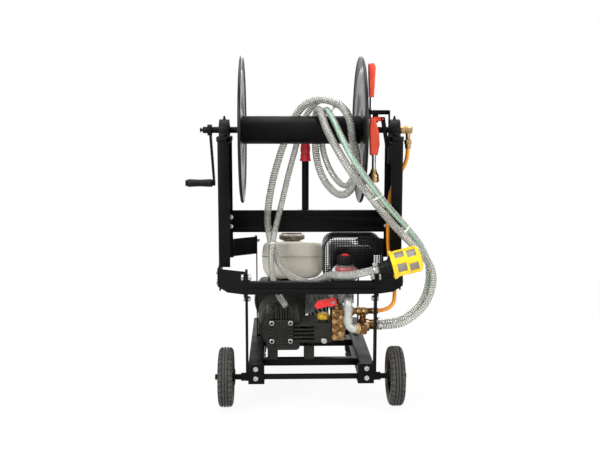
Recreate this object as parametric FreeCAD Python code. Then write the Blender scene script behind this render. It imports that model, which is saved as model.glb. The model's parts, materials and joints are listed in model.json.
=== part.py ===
import FreeCAD, Part
import math
import os

# Wheeled sprayer cart: a petrol engine drives a three-plunger pump on a low wheeled frame, and a
# hose reel on two posts stands over it. Millimetres. X to the right seen from the pump side, Y away
# to the starter side, Z up. The cart is built about its centre plane with the axle at Y 0 on the
# ground plane, and moved at the end so that the origin is below the middle of the rigid cart.

V = FreeCAD.Vector
os.makedirs("parts", exist_ok=True)

# Driving dimensions
# Clearances
running_gap = 0.05
free_gap = 0.4
hole_gap = 0.25

# Wheels and axle
wheel_diameter = 160.0
wheel_width = 38.0
wheel_centre_x = 228.0
rim_diameter = 104.0
tread_grooves = 3
tread_groove_depth = 4.0
axle_diameter = 15.0
axle_height = 80.0
washer_diameter = 43.0
washer_thickness = 2.5

# Base frame
rail_centre_x = 148.0
rail_width = 40.0
rail_height = 50.0
rail_wall = 3.0
rail_top_z = 122.0
rail_front_y = -20.0
rail_back_y = 470.0
bar_size = 20.0
bar_wall = 2.0
pump_bar_y = 40.0
engine_bar_ys = (225.0, 345.0)
rear_bar_y = 455.0
corner_plate = 6.0
foot_diameter = 38.0
foot_height = 18.0

# Front hoop and reel arms
upright_thickness = 6.0
upright_depth = 30.0
upright_bottom_z = 75.0
upright_top_z = 375.0
top_bar_bottom_z = 311.0
top_bar_height = 33.0
top_bar_depth = 25.0
plate_thickness = 4.0
front_arm_bottom_z = 305.0
front_arm_height = 62.0
rear_arm_bottom_z = 372.0
rear_arm_height = 51.0
stay_x = 150.0
stay_y = 270.0
stay_thickness = 3.0
stay_depth = 25.0

# Reel posts and cross beam
post_outer_x = 248.0
post_width = 31.0
post_front_y = 50.0
post_depth = 150.0
post_bottom_z = 371.0
post_top_z = 708.0
beam_bottom_z = 446.0
beam_height = 63.0
beam_depth = 12.0
beam_wall = 3.0

# Reel
reel_y = 125.0
shaft_diameter = 17.0
bearing_x = 233.0
bearing_centre_height = 30.2
bearing_foot_length = 127.0
bearing_foot_width = 38.0
bearing_foot_height = 13.0
bearing_body_radius = 29.0
bearing_body_width = 27.0
insert_diameter = 40.0
insert_width = 31.0
flange_diameter = 400.0
flange_sheet = 1.6
flange_bead = 5.0
flange_roll_radius = 4.0
left_flange_x = -184.0
right_flange_x = 138.0
drum_diameter = 76.1
drum_wall = 2.5
crank_x = -272.0
crank_drop = 155.0
crank_back = 113.0
crank_bar_width = 20.0
crank_bar_thickness = 6.0
grip_diameter = 23.0
grip_length = 76.0
grip_pin_diameter = 10.0
swivel_diameter = 21.0
swivel_end_x = 282.0
swivel_branch_x = 271.0

# Folding pull handle
handle_x = -9.0
handle_tube_diameter = 20.0
handle_tube_wall = 2.0
handle_pivot_gap_y = 16.0
handle_top_z = 770.0
handle_grip_diameter = 28.0
handle_grip_length = 125.0
handle_pin_diameter = 8.0

# Engine
crank_axis_x = -78.0
crank_axis_z = 208.0
engine_front_y = 215.0
crankcase_depth = 120.0
crankcase_width = 138.0
crankcase_top_z = 286.0
engine_foot_height = 12.0
cylinder_tilt = 22.0
cylinder_bore_block = 92.0
cylinder_length = 100.0
fin_count = 7
fin_thickness = 3.0
head_length = 46.0
recoil_diameter = 168.0
recoil_depth = 70.0
recoil_slots = 16
tank_left_x = -134.0
tank_right_x = 44.0
tank_front_y = 203.0
tank_back_y = 392.0
tank_bottom_z = 297.0
tank_top_z = 400.0
tank_seam = 3.0
cap_diameter = 76.0
cap_height = 17.0
cap_x = -47.0
cap_y = 272.0
guard_left_x = 40.0
guard_right_x = 206.0
guard_front_y = 112.0
guard_back_y = 198.0
guard_bottom_z = 334.0
guard_top_z = 444.0
guard_wall = 2.0
guard_slot_rows = 6
guard_slot_columns = 4
muffler_gap = 12.0
cleaner_length = 92.0
cleaner_height = 92.0

# Pump
pump_axis_z = 205.0
pump_front_y = -5.0
pump_left_x = -130.0
pump_bottom_z = 150.0
cover_size = 66.0
cover_thickness = 16.0
cover_ribs = 4
pump_fins = 5
head_right_x = 56.0
head_slots = 4
manifold_right_x = 92.0
line_y = 24.0
outlet_z = 264.0
inlet_z = 213.0
hose_start_x = 176.0
regulator_x = 93.0
regulator_y = 38.0
regulator_dome_radius = 34.0
knob_diameter = 44.0

# Hoses
suction_outer = 21.0
suction_bore = 16.0
return_outer = 17.0
return_bore = 12.0
pressure_outer = 11.0
pressure_bore = 6.0

# Strainer on the suction hose
strainer_diameter = 70.0
strainer_length = 78.0
strainer_wall = 3.0
strainer_rise = 15.0
windows_around = 5
windows_along = 2

# Spray gun in its holder
gun_x = 172.0
gun_y = 78.0

nodes = {}
print_lines = []


# Building helpers
def box(x0, x1, y0, y1, z0, z1):
    return Part.makeBox(x1 - x0, y1 - y0, z1 - z0, V(x0, y0, z0))


def rod(start, end, radius):
    way = end - start
    return Part.makeCylinder(radius, way.Length, start, way)


def pipe(start, end, outer, inner):
    way = end - start
    over = way.normalize() * 2
    solid = rod(start, end, outer)
    return solid.cut(rod(start - over, end + over, inner))


def prism(points, way):
    return Part.Face(Part.makePolygon(points + [points[0]])).extrude(way)


def spun(profile, base, axis, side):
    """A solid of revolution: (along, radius) pairs turned about an axis through base."""
    points = [base + axis * a + side * r for a, r in profile]
    face = Part.Face(Part.makePolygon(points + [points[0]]))
    return face.revolve(base, axis, 360)


def mirrored(shape):
    return shape.mirror(V(0, 0, 0), V(1, 0, 0))


def pair(shape):
    return [shape, mirrored(shape)]


def joined(shapes):
    return shapes[0] if len(shapes) == 1 else shapes[0].fuse(shapes[1:]).removeSplitter()


def rounded(shape, radius, picks):
    edges = [e for e in shape.Edges if picks(e)]
    return shape.makeFillet(radius, edges) if edges else shape


def along(axis):
    def test(edge):
        if len(edge.Vertexes) != 2 or not isinstance(edge.Curve, Part.Line):
            return False
        way = edge.Vertexes[1].Point - edge.Vertexes[0].Point
        return abs(way.normalize().dot(axis)) > 0.999
    return test


X = V(1, 0, 0)
Y = V(0, 1, 0)
Z = V(0, 0, 1)

bolts = []
bolt_holes = []


def bolt(at, way, grip, size=8.0):
    """A hex bolt with its nut: the head seats at a point, the shank runs along way."""
    way = V(way).normalize()
    side = V(0, 0, 1) if abs(way.z) < 0.9 else V(1, 0, 0)
    other = way.cross(side)
    across = size * 0.92

    def hexagon(start, height):
        ring = []
        for k in range(6):
            turn = math.radians(60 * k)
            ring.append(start + side * (across * math.cos(turn)) + other * (across * math.sin(turn)))
        return prism(ring, way * height)

    head_height = size * 0.65
    nut_height = size * 0.8
    shank = rod(at - way * 0.01, at + way * (grip + nut_height + 2), size / 2)
    solid = hexagon(at - way * head_height, head_height).fuse(shank)
    solid = solid.fuse(hexagon(at + way * grip, nut_height))
    hole = rod(at - way * 0.5, at + way * (grip + 0.5), size / 2 + hole_gap)
    bolts.append(solid)
    bolt_holes.append(hole)
    return solid


def bolt_pair(at, way, grip, size=8.0):
    bolt(at, way, grip, size)
    bolt(V(-at.x, at.y, at.z), V(-way.x, way.y, way.z), grip, size)


def drilled(shape):
    near = [h for h in bolt_holes if h.BoundBox.intersect(shape.BoundBox)]
    return shape.cut(near) if near else shape


def cord_tube(points, radius, name, bore=0.0):
    """A hose: straight runs joined by arcs, each as large as its two runs allow."""
    points = [V(*p) for p in points]
    pieces = []
    radii = []
    start = points[0]
    for before, here, after in zip(points, points[1:], points[2:]):
        incoming = here - before
        outgoing = after - here
        shorter = min(incoming.Length, outgoing.Length)
        incoming.normalize()
        outgoing.normalize()
        half = incoming.getAngle(outgoing) / 2
        back = 0.45 * shorter
        arc_radius = back / math.tan(half)
        enter = here - incoming * back
        leave = here + outgoing * back
        bisector = (outgoing - incoming).normalize()
        centre = here + bisector * math.hypot(arc_radius, back)
        middle = centre - bisector * arc_radius
        pieces.append(Part.LineSegment(start, enter).toShape())
        pieces.append(Part.Arc(enter, middle, leave).toShape())
        radii.append(arc_radius)
        start = leave
    pieces.append(Part.LineSegment(start, points[-1]).toShape())
    path = Part.Wire(pieces)
    way = (points[1] - points[0]).normalize()

    def swept(size):
        ring = Part.Wire(Part.makeCircle(size, points[0], way))
        return path.makePipeShell([ring], True, False)

    solid = swept(radius)
    area = math.pi * radius * radius
    if bore:
        solid = solid.cut(swept(bore))
        area -= math.pi * bore * bore
    share = solid.Volume / (area * path.Length)
    print_lines.append("%s: length %.0f, smallest radius %.0f, volume over section times length %.4f"
                       % (name, path.Length, min(radii), share))
    print_lines.append("  radii " + " ".join("%.0f" % r for r in radii))
    return solid


# Frame bolts, placed first so that every plate is drilled for them
axle_z = axle_height
ground_z = axle_z - wheel_diameter / 2
rail_inner_x = rail_centre_x - rail_width / 2
rail_outer_x = rail_centre_x + rail_width / 2
rail_bottom_z = rail_top_z - rail_height
upright_outer_x = rail_outer_x + upright_thickness
upright_front_y = rail_front_y - 5
upright_back_y = upright_front_y + upright_depth
upright_mid_y = (upright_front_y + upright_back_y) / 2
corner_front_y = rail_front_y - corner_plate
post_inner_x = post_outer_x - post_width
post_back_y = post_front_y + post_depth
arm_outer_x = post_outer_x + plate_thickness
arm_tab_y = post_front_y + 25

bolt_pair(V(rail_centre_x, corner_front_y, rail_top_z - 12), Y, corner_plate + rail_wall, 8)
bolt_pair(V(rail_centre_x, corner_front_y, rail_bottom_z + 12), Y, corner_plate + rail_wall, 8)
bolt_pair(V(upright_outer_x + plate_thickness, upright_mid_y, upright_top_z - 21), V(-1, 0, 0),
          upright_thickness + plate_thickness, 10)
bolt_pair(V(upright_outer_x, upright_mid_y, top_bar_bottom_z - 14), V(-1, 0, 0), upright_thickness, 8)
bolt_pair(V(arm_outer_x, arm_tab_y, front_arm_bottom_z + 20), V(-1, 0, 0), plate_thickness * 2, 8)
bolt_pair(V(arm_outer_x, arm_tab_y, front_arm_bottom_z + 48), V(-1, 0, 0), plate_thickness * 2, 8)
bolt_pair(V(stay_x + stay_thickness + plate_thickness, stay_y, rear_arm_bottom_z + 40), V(-1, 0, 0),
          stay_thickness + plate_thickness, 8)
for height in (18.0, beam_height - 18):
    bolt_pair(V(222, post_back_y - plate_thickness - beam_depth, beam_bottom_z + height), Y,
              plate_thickness + beam_depth, 8)
for foot_side in (-1, 1):
    bolt_pair(V(bearing_x, reel_y + foot_side * (bearing_foot_length / 2 - 15),
                post_top_z + bearing_foot_height), V(0, 0, -1),
              bearing_foot_height + plate_thickness, 10)

# Wheels and axle
half_wheel = wheel_width / 2
rim_radius = rim_diameter / 2
tyre_radius = wheel_diameter / 2
profile = [(-half_wheel + 3, rim_radius), (-half_wheel, rim_radius + 6), (-half_wheel, tyre_radius - 9),
           (-half_wheel + 5, tyre_radius - 2)]
lane = (wheel_width - 12) / (2 * tread_grooves + 1)
for k in range(tread_grooves):
    left = -half_wheel + 6 + lane * (2 * k + 1)
    profile.append((left, tyre_radius))
    profile.append((left + 0.8, tyre_radius - tread_groove_depth))
    profile.append((left + lane - 0.8, tyre_radius - tread_groove_depth))
    profile.append((left + lane, tyre_radius))
profile += [(half_wheel - 5, tyre_radius - 2), (half_wheel, tyre_radius - 9), (half_wheel, rim_radius + 6),
            (half_wheel - 3, rim_radius)]
tyre = spun(profile, V(wheel_centre_x, 0, axle_z), X, Z)
hub_bore = axle_diameter / 2 + running_gap
hub_profile = [(-half_wheel - 2, hub_bore), (-half_wheel - 2, 15), (-half_wheel + 5, 16), (-3, 20),
               (-3, rim_radius - 8), (-half_wheel + 5, rim_radius - 5), (-half_wheel + 3, rim_radius),
               (half_wheel - 3, rim_radius), (half_wheel - 5, rim_radius - 5), (3, rim_radius - 8),
               (3, 20), (half_wheel - 5, 16), (half_wheel + 2, 15), (half_wheel + 2, hub_bore)]
hub = spun(hub_profile, V(wheel_centre_x, 0, axle_z), X, Z)
nodes["tyre_right"] = [tyre]
nodes["tyre_left"] = [mirrored(tyre)]
nodes["hub_right"] = [hub]
nodes["hub_left"] = [mirrored(hub)]

hub_inner_x = wheel_centre_x - half_wheel - 2
hub_outer_x = wheel_centre_x + half_wheel + 2
axle_end_x = hub_outer_x + free_gap + washer_thickness + 6
nodes["axle"] = [rod(V(-axle_end_x, 0, axle_z), V(axle_end_x, 0, axle_z), axle_diameter / 2)]
axle_hole = rod(V(-400, 0, axle_z), V(400, 0, axle_z), axle_diameter / 2)
inner_washer = pipe(V(hub_inner_x - free_gap - washer_thickness, 0, axle_z),
                    V(hub_inner_x - free_gap, 0, axle_z), washer_diameter / 2, axle_diameter / 2)
outer_washer = pipe(V(hub_outer_x + free_gap, 0, axle_z),
                    V(hub_outer_x + free_gap + washer_thickness, 0, axle_z), 14, axle_diameter / 2)
collar = pipe(V(upright_outer_x, 0, axle_z), V(upright_outer_x + 14, 0, axle_z), 11, axle_diameter / 2)
axle_washers = pair(inner_washer) + pair(outer_washer) + pair(collar)

# Base frame
rail = box(rail_inner_x, rail_outer_x, rail_front_y, rail_back_y, rail_bottom_z, rail_top_z)
rail = rounded(rail, 4, along(Y))
rail = rail.cut(box(rail_inner_x + rail_wall, rail_outer_x - rail_wall, rail_front_y - 1,
                    rail_back_y - rail_wall,
                    rail_bottom_z + rail_wall, rail_top_z - rail_wall))
rail = rail.cut(axle_hole)
nodes["side_rails"] = pair(drilled(rail))

corner = box(rail_inner_x - 3, rail_outer_x, corner_front_y, rail_front_y, rail_bottom_z - 5, rail_top_z)
lip = box(rail_inner_x - 3, rail_outer_x, rail_front_y, rail_front_y + 46, rail_bottom_z - 5, rail_bottom_z)
corner = rounded(joined([corner, lip]), 2,
                 lambda e: along(X)(e) and e.Vertexes[0].Point.z < rail_bottom_z - 1)
nodes["side_rails"] += pair(drilled(corner))

bars = []
for bar_y in (pump_bar_y,) + engine_bar_ys + (rear_bar_y,):
    bar = box(-rail_inner_x, rail_inner_x, bar_y - bar_size / 2, bar_y + bar_size / 2,
              rail_top_z - 2 - bar_size, rail_top_z - 2)
    hollow = box(-rail_inner_x - 1, rail_inner_x + 1, bar_y - bar_size / 2 + bar_wall,
                 bar_y + bar_size / 2 - bar_wall, rail_top_z - 2 - bar_size + bar_wall,
                 rail_top_z - 2 - bar_wall)
    bars.append(rounded(bar, 2, along(X)).cut(hollow))
nodes["cross_bars"] = bars
bar_top_z = rail_top_z - 2

leg_y = rail_back_y - 22
leg = box(rail_inner_x, rail_outer_x, leg_y - 18, leg_y + 18, ground_z + foot_height, rail_bottom_z)
leg = rounded(leg, 4, along(Z)).cut(box(rail_inner_x + 3, rail_outer_x - 3, leg_y - 15, leg_y + 15,
                                        ground_z + foot_height + 3, rail_bottom_z + 1))
nodes["side_rails"] += pair(leg)
foot_radius = foot_diameter / 2
foot = spun([(0, 0), (0, foot_radius), (4, foot_radius), (foot_height, foot_radius - 4), (foot_height, 0)],
            V(rail_centre_x, leg_y, ground_z), Z, X)
nodes["rubber_feet"] = pair(foot)

# Front hoop
upright = box(rail_outer_x, upright_outer_x, upright_front_y, upright_back_y, upright_bottom_z,
              upright_top_z)
upright = rounded(upright, 6, along(X)).cut(axle_hole)
nodes["uprights"] = pair(drilled(upright))
bar_back_y = upright_front_y + top_bar_depth
top_bar = box(-rail_outer_x, rail_outer_x, upright_front_y, bar_back_y, top_bar_bottom_z,
              top_bar_bottom_z + top_bar_height)
top_bar = rounded(top_bar, 2.5, along(X))
groove_z = top_bar_bottom_z + top_bar_height * 0.45
groove = prism([V(-rail_outer_x - 1, upright_front_y - 1, groove_z - 3.5),
                V(-rail_outer_x - 1, upright_front_y + 2.5, groove_z),
                V(-rail_outer_x - 1, upright_front_y - 1, groove_z + 3.5)], X * (2 * rail_outer_x + 2))
top_bar = top_bar.cut(groove)
hollow = box(-rail_outer_x - 1, rail_outer_x + 1, upright_front_y + 5, bar_back_y - 3, top_bar_bottom_z + 3,
             top_bar_bottom_z + top_bar_height - 3)
nodes["top_bar"] = [drilled(top_bar.cut(hollow))]


def bent_plate(outline, thickness, bottom_z, height):
    """A plate bent along vertical folds: the outline is its outer face seen from above."""
    inner = []
    count = len(outline)
    for k in range(count):
        before = outline[max(k - 1, 0)]
        after = outline[min(k + 1, count - 1)]
        here = outline[k]
        ways = []
        for a, b in ((before, here), (here, after)):
            if a != b:
                way = V(b[0] - a[0], b[1] - a[1], 0).normalize()
                ways.append(V(-way.y, way.x, 0))
        normal = ways[0] if len(ways) == 1 else (ways[0] + ways[1]).normalize()
        reach = thickness / normal.dot(ways[0])
        inner.append((here[0] + normal.x * reach, here[1] + normal.y * reach))
    ring = [V(p[0], p[1], bottom_z) for p in list(outline) + inner[::-1]]
    return prism(ring, Z * height)


arm = bent_plate([(upright_outer_x + plate_thickness, upright_front_y), (upright_outer_x + plate_thickness,
        4),
                  (arm_outer_x, post_front_y - 4), (arm_outer_x, post_front_y + 60)], plate_thickness,
                 front_arm_bottom_z, front_arm_height)
chamfer = prism([V(arm_outer_x + 5, -80, front_arm_bottom_z - 1),
                 V(arm_outer_x + 5, -80, front_arm_bottom_z + 16),
                 V(arm_outer_x - 30, -80, front_arm_bottom_z - 1)], Y * 300)
arm = arm.cut(chamfer)
nodes["reel_arms"] = pair(drilled(arm))
rear_arm = bent_plate([(stay_x + stay_thickness + plate_thickness, stay_y + 14),
                       (stay_x + stay_thickness + plate_thickness, stay_y - 14),
                       (post_inner_x - 2, post_back_y + plate_thickness + 14),
                       (post_inner_x + 4, post_back_y + plate_thickness),
                       (post_outer_x - 4, post_back_y + plate_thickness)], -plate_thickness,
                      rear_arm_bottom_z, rear_arm_height)
nodes["reel_arms"] += pair(drilled(rear_arm))
stay = box(stay_x, stay_x + stay_thickness, stay_y - stay_depth / 2, stay_y + stay_depth / 2,
           rail_top_z, rear_arm_bottom_z + rear_arm_height)
stay_foot = box(stay_x - 12, stay_x + stay_thickness, stay_y - stay_depth / 2, stay_y + stay_depth / 2,
                rail_top_z, rail_top_z + stay_thickness)
nodes["uprights"] += pair(drilled(joined([stay, stay_foot])))

# Reel posts: channels that open inwards, with a seat plate for the bearing
post = box(post_inner_x, post_outer_x, post_front_y, post_back_y, front_arm_bottom_z, post_top_z)
post = rounded(post, 6, lambda e: along(Z)(e) and e.Vertexes[0].Point.x > post_outer_x - 1)
post = post.cut(box(post_inner_x - 1, post_outer_x - plate_thickness, post_front_y + plate_thickness,
                    post_back_y - plate_thickness, front_arm_bottom_z - 1, post_top_z - plate_thickness))
post = post.cut(box(post_inner_x - 1, post_outer_x - plate_thickness, post_front_y - 1, post_back_y + 1,
                    front_arm_bottom_z - 1, post_bottom_z))
post = post.cut(prism([V(post_inner_x - 1, post_front_y + 70, front_arm_bottom_z - 1),
                       V(post_inner_x - 1, post_back_y + 1, front_arm_bottom_z - 1),
                       V(post_inner_x - 1, post_back_y + 1, post_bottom_z),
                       V(post_inner_x - 1, post_front_y + 110, post_bottom_z)], X * 60))
nodes["post_left"] = [mirrored(drilled(post))]
hose_window = box(post_outer_x - 10, post_outer_x + 10, reel_y - 16, reel_y + 16, post_top_z - 130,
                  post_top_z - 60)
hose_window = rounded(hose_window, 14, along(X))
nodes["post_right"] = [drilled(post.cut(hose_window))]

beam_half = post_outer_x - plate_thickness - 0.5
beam_front_y = post_back_y - plate_thickness - beam_depth
beam = box(-beam_half, beam_half, beam_front_y, beam_front_y + beam_depth, beam_bottom_z,
           beam_bottom_z + beam_height)
beam = rounded(beam, 3, lambda e: along(X)(e) and e.Vertexes[0].Point.y < beam_front_y + 1)
beam = beam.cut(box(-beam_half - 1, beam_half + 1, beam_front_y + beam_wall, beam_front_y + beam_depth + 1,
                    beam_bottom_z + beam_wall, beam_bottom_z + beam_height - beam_wall))
pads = []
for side in (-1, 1):
    pad_x = side * 222
    pads.append(box(pad_x - 9, pad_x + 9, beam_front_y + beam_wall - 0.5, beam_front_y + beam_depth,
                    beam_bottom_z + beam_wall - 0.5, beam_bottom_z + beam_height - beam_wall + 0.5))
nodes["cross_beam"] = [drilled(joined([beam] + pads))]

# Pillow block bearings
shaft_z = post_top_z + bearing_centre_height
foot_half = bearing_foot_length / 2
shaft_radius = shaft_diameter / 2
seat = box(bearing_x - bearing_foot_width / 2, bearing_x + bearing_foot_width / 2, reel_y - foot_half,
           reel_y + foot_half, post_top_z, post_top_z + bearing_foot_height)
seat = rounded(seat, 12, along(Z))
body = rod(V(bearing_x - bearing_body_width / 2, reel_y, shaft_z),
           V(bearing_x + bearing_body_width / 2, reel_y, shaft_z), bearing_body_radius)
neck = prism([V(bearing_x - bearing_body_width / 2, reel_y - 34, post_top_z),
              V(bearing_x - bearing_body_width / 2, reel_y + 34, post_top_z),
              V(bearing_x - bearing_body_width / 2, reel_y + 26, shaft_z),
              V(bearing_x - bearing_body_width / 2, reel_y - 26, shaft_z)], X * bearing_body_width)
under = box(bearing_x - 40, bearing_x + 40, reel_y - 80, reel_y + 80, post_top_z - 40, post_top_z)
housing = joined([seat, body, neck]).cut(under)
seat_bore = rod(V(bearing_x - 30, reel_y, shaft_z), V(bearing_x + 30, reel_y, shaft_z), insert_diameter / 2)
housing = housing.cut(seat_bore)
nipple = spun([(0, 0), (0, 4), (5, 4), (6, 2.5), (10, 2.5), (11, 0)],
              V(bearing_x, reel_y, shaft_z + bearing_body_radius - 1), Z, X)
housing = joined([housing, nipple])
nodes["bearings"] = pair(drilled(housing))
insert_half = insert_width / 2
insert = spun([(-insert_half, shaft_radius + running_gap), (-insert_half, 13), (-8, 13),
               (-8, insert_diameter / 2),
               (8, insert_diameter / 2), (8, 13.5), (insert_half, 13.5), (insert_half,
                       shaft_radius + running_gap)],
              V(bearing_x, reel_y, shaft_z), X, Z)
nodes["bearings"] += pair(insert)

# Reel: drum, two pressed flanges, shaft and crank
def reel_flange(face_x, outward):
    """A pressed disc with two ring beads and a rolled rim; outward is the side its beads swell to."""
    radius = flange_diameter / 2
    half = flange_sheet / 2
    drum_radius = drum_diameter / 2
    rings = [(shaft_radius, 0), (drum_radius + 12, 0), (drum_radius + 24, flange_bead),
             (drum_radius + 52, flange_bead), (drum_radius + 64, 0), (radius - 44, 0),
             (radius - 34, flange_bead * 0.8), (radius - 22, flange_bead * 0.8), (radius - 12, 0),
             (radius - 2 * flange_roll_radius, 0)]
    front = [(outward * lift - half, r) for r, lift in rings]
    back = [(outward * lift + half, r) for r, lift in rings]
    roll = []
    for k in range(1, 10):
        turn = math.radians(-150 + 300 * k / 10)
        roll.append((-flange_roll_radius * math.sin(turn) * -1,
                     radius - flange_roll_radius + flange_roll_radius * math.cos(turn)))
    return spun(front + roll + back[::-1], V(face_x, reel_y, shaft_z), X, Z)


nodes["reel_flange_left"] = [reel_flange(left_flange_x, -1)]
nodes["reel_flange_right"] = [reel_flange(right_flange_x, 1)]
drum_start = left_flange_x + flange_sheet / 2
drum_end = right_flange_x - flange_sheet / 2
nodes["reel_drum"] = [pipe(V(drum_start, reel_y, shaft_z), V(drum_end, reel_y, shaft_z), drum_diameter / 2,
                           drum_diameter / 2 - drum_wall)]
shaft_left_x = crank_x - crank_bar_thickness / 2
shaft_right_x = swivel_end_x - 14
shaft = rod(V(shaft_left_x - 8, reel_y, shaft_z), V(shaft_right_x, reel_y, shaft_z), shaft_radius)
flange_seats = []
for face_x, out in ((left_flange_x, -1), (right_flange_x, 1)):
    start = face_x + out * flange_sheet / 2
    flange_seats.append(pipe(V(start, reel_y, shaft_z), V(start + out * 8, reel_y, shaft_z), 20,
                             shaft_radius))
nodes["reel_shaft"] = [shaft] + flange_seats

crank_eye = V(crank_x - crank_bar_thickness / 2, reel_y, shaft_z)
grip_eye = V(crank_x - crank_bar_thickness / 2, reel_y + crank_back, shaft_z - crank_drop)
way = (grip_eye - crank_eye).normalize()
across = way.cross(X) * (crank_bar_width / 2)
bar = prism([crank_eye + across, grip_eye + across * 0.8, grip_eye - across * 0.8, crank_eye - across],
            X * crank_bar_thickness)
boss = rod(crank_eye - X * 4, crank_eye + X * (crank_bar_thickness + 2), 15)
grip_boss = rod(grip_eye, grip_eye + X * crank_bar_thickness, crank_bar_width * 0.4)
pin_radius = grip_pin_diameter / 2
pin = rod(grip_eye + X * 0.5, grip_eye - X * (grip_length + 2 * free_gap), pin_radius)
pin_head = rod(grip_eye - X * (grip_length + 2 * free_gap), grip_eye - X * (grip_length + 2 * free_gap + 3),
               9)
crank = joined([bar, boss, grip_boss]).cut(shaft)
nodes["crank_arm"] = [joined([crank, pin, pin_head])]
grip_radius = grip_diameter / 2
grip_start = grip_eye - X * free_gap
grip = spun([(0, pin_radius + running_gap), (0, grip_radius - 3), (3, grip_radius - 0.5), (8, grip_radius),
             (grip_length * 0.5, grip_radius - 1.5), (grip_length - 8, grip_radius), (grip_length - 2,
                     grip_radius - 1),
             (grip_length, grip_radius - 4), (grip_length,
                                              pin_radius + running_gap)], grip_start, X * -1, Z)
nodes["crank_grip"] = [grip]

# Brass swivel on the shaft end, with the branch that feeds the reel from the pump
swivel_radius = swivel_diameter / 2
swivel_start = bearing_x + insert_half + 0.6
swivel = spun([(0, shaft_radius + running_gap), (0, swivel_radius), (11, swivel_radius),
               (11, swivel_radius - 1),
               (14, swivel_radius - 1), (14, swivel_radius), (swivel_end_x - swivel_start - 2,
                       swivel_radius),
               (swivel_end_x - swivel_start, swivel_radius - 2), (swivel_end_x - swivel_start, 0),
               (shaft_right_x - swivel_start + 1, 0), (shaft_right_x - swivel_start + 1,
                                                       shaft_radius + running_gap)],
              V(swivel_start, reel_y, shaft_z), X, Z)
branch = rod(V(swivel_branch_x, reel_y, shaft_z - swivel_radius + 2),
             V(swivel_branch_x, reel_y, shaft_z - 27), 6.5)
nodes["swivel"] = [joined([swivel, branch])]
branch_nut = prism([V(swivel_branch_x + 10 * math.cos(math.radians(60 * k)),
                      reel_y + 10 * math.sin(math.radians(60 * k)),
                      shaft_z - 39) for k in range(6)], Z * 12)
pressure_radius = pressure_outer / 2
ferrule_top = shaft_z - 39
ferrule = spun([(0, pressure_radius), (0, 8), (-3, 8.5), (-12, 7.5), (-13, pressure_radius)],
               V(swivel_branch_x, reel_y, ferrule_top), Z, X)
branch_plug = rod(V(swivel_branch_x, reel_y, ferrule_top - 1), V(swivel_branch_x, reel_y, ferrule_top),
                  pressure_radius)
nodes["swivel"] += [branch_nut, ferrule.fuse(branch_plug).removeSplitter()]

# Folding pull handle on the back of the cross beam
beam_back_y = beam_front_y + beam_depth
pivot = V(handle_x, beam_back_y + handle_pivot_gap_y, beam_bottom_z + beam_height / 2)
handle_radius = handle_tube_diameter / 2
ear_gap = handle_radius + free_gap
clevis_back = pivot.y + 11
plate = box(handle_x - 24, handle_x + 24, beam_back_y, beam_back_y + 4, beam_bottom_z,
            beam_bottom_z + beam_height)
ears = []
for side in (-1, 1):
    inner = handle_x + side * ear_gap
    outer = inner + side * 4
    ear = box(min(inner, outer), max(inner, outer), beam_back_y + 3.9, clevis_back, pivot.z - 13,
              pivot.z + 13)
    ears.append(rounded(ear, 8, lambda e: along(X)(e) and e.Vertexes[0].Point.y > clevis_back - 1))
pin_radius = handle_pin_diameter / 2
hinge_pin = rod(pivot - X * (ear_gap + 8), pivot + X * (ear_gap + 8), pin_radius)
clevis = joined([plate] + ears + [hinge_pin])
nodes["handle_clevis"] = [clevis]
handle_foot_z = pivot.z - 12
outer_tube = rod(V(pivot.x, pivot.y, handle_foot_z), V(pivot.x, pivot.y, handle_top_z), handle_radius)
inner_tube = rod(V(pivot.x, pivot.y, pivot.z + 16), V(pivot.x, pivot.y, handle_top_z - 4),
                 handle_radius - handle_tube_wall)
pin_hole = rod(pivot - X * 40, pivot + X * 40, pin_radius + running_gap)
handle = outer_tube.cut(inner_tube).cut(pin_hole)
handle = handle.common(joined([rod(pivot - X * 40, pivot + X * 40, 11.5),
                               box(pivot.x - 40, pivot.x + 40, pivot.y - 40, pivot.y + 40, pivot.z,
                                   handle_top_z + 1)]))
nodes["handle_tube"] = [handle]
grip_r = handle_grip_diameter / 2
grip_base = handle_top_z + 3 - handle_grip_length
hand_profile = [(0, handle_radius), (0, grip_r + 2), (5, grip_r + 2), (9, grip_r)]
for k in range(4):
    step = 18 + 24 * k
    hand_profile += [(step, grip_r), (step + 3, grip_r - 1.2), (step + 6, grip_r - 1.2), (step + 9, grip_r)]
hand_profile += [(handle_grip_length - 6, grip_r), (handle_grip_length, grip_r - 5),
                 (handle_grip_length, 0),
                 (handle_grip_length - 3, 0), (handle_grip_length - 3, handle_radius)]
nodes["handle_grip"] = [spun(hand_profile, V(pivot.x, pivot.y, grip_base), Z, X)]

# Engine
engine_back_y = engine_front_y + crankcase_depth
case_left_x = crank_axis_x - crankcase_width / 2
case_right_x = crank_axis_x + crankcase_width / 2
case_bottom_z = bar_top_z + engine_foot_height
case = box(case_left_x, case_right_x, engine_front_y, engine_back_y, case_bottom_z, crankcase_top_z)
case = rounded(case, 16, along(Y))
side_cover = spun([(0, 0), (0, 66), (-8, 66), (-12, 62), (-12, 0)],
                  V(crank_axis_x, engine_front_y, crank_axis_z), Y, X)
foot_plate = box(-rail_inner_x + 2, case_right_x + 14, engine_front_y - 2, engine_back_y, bar_top_z,
                 case_bottom_z + 6)
foot_plate = rounded(foot_plate, 8, along(Z))
nodes["crankcase"] = [joined([case, side_cover, foot_plate])]

tilt = math.radians(cylinder_tilt)
lean = V(math.cos(tilt), 0, math.sin(tilt))
lean_up = V(-math.sin(tilt), 0, math.cos(tilt))
bore_start = V(case_right_x - 14, 0, crank_axis_z + 12)
mid_y = engine_front_y + 48


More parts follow.
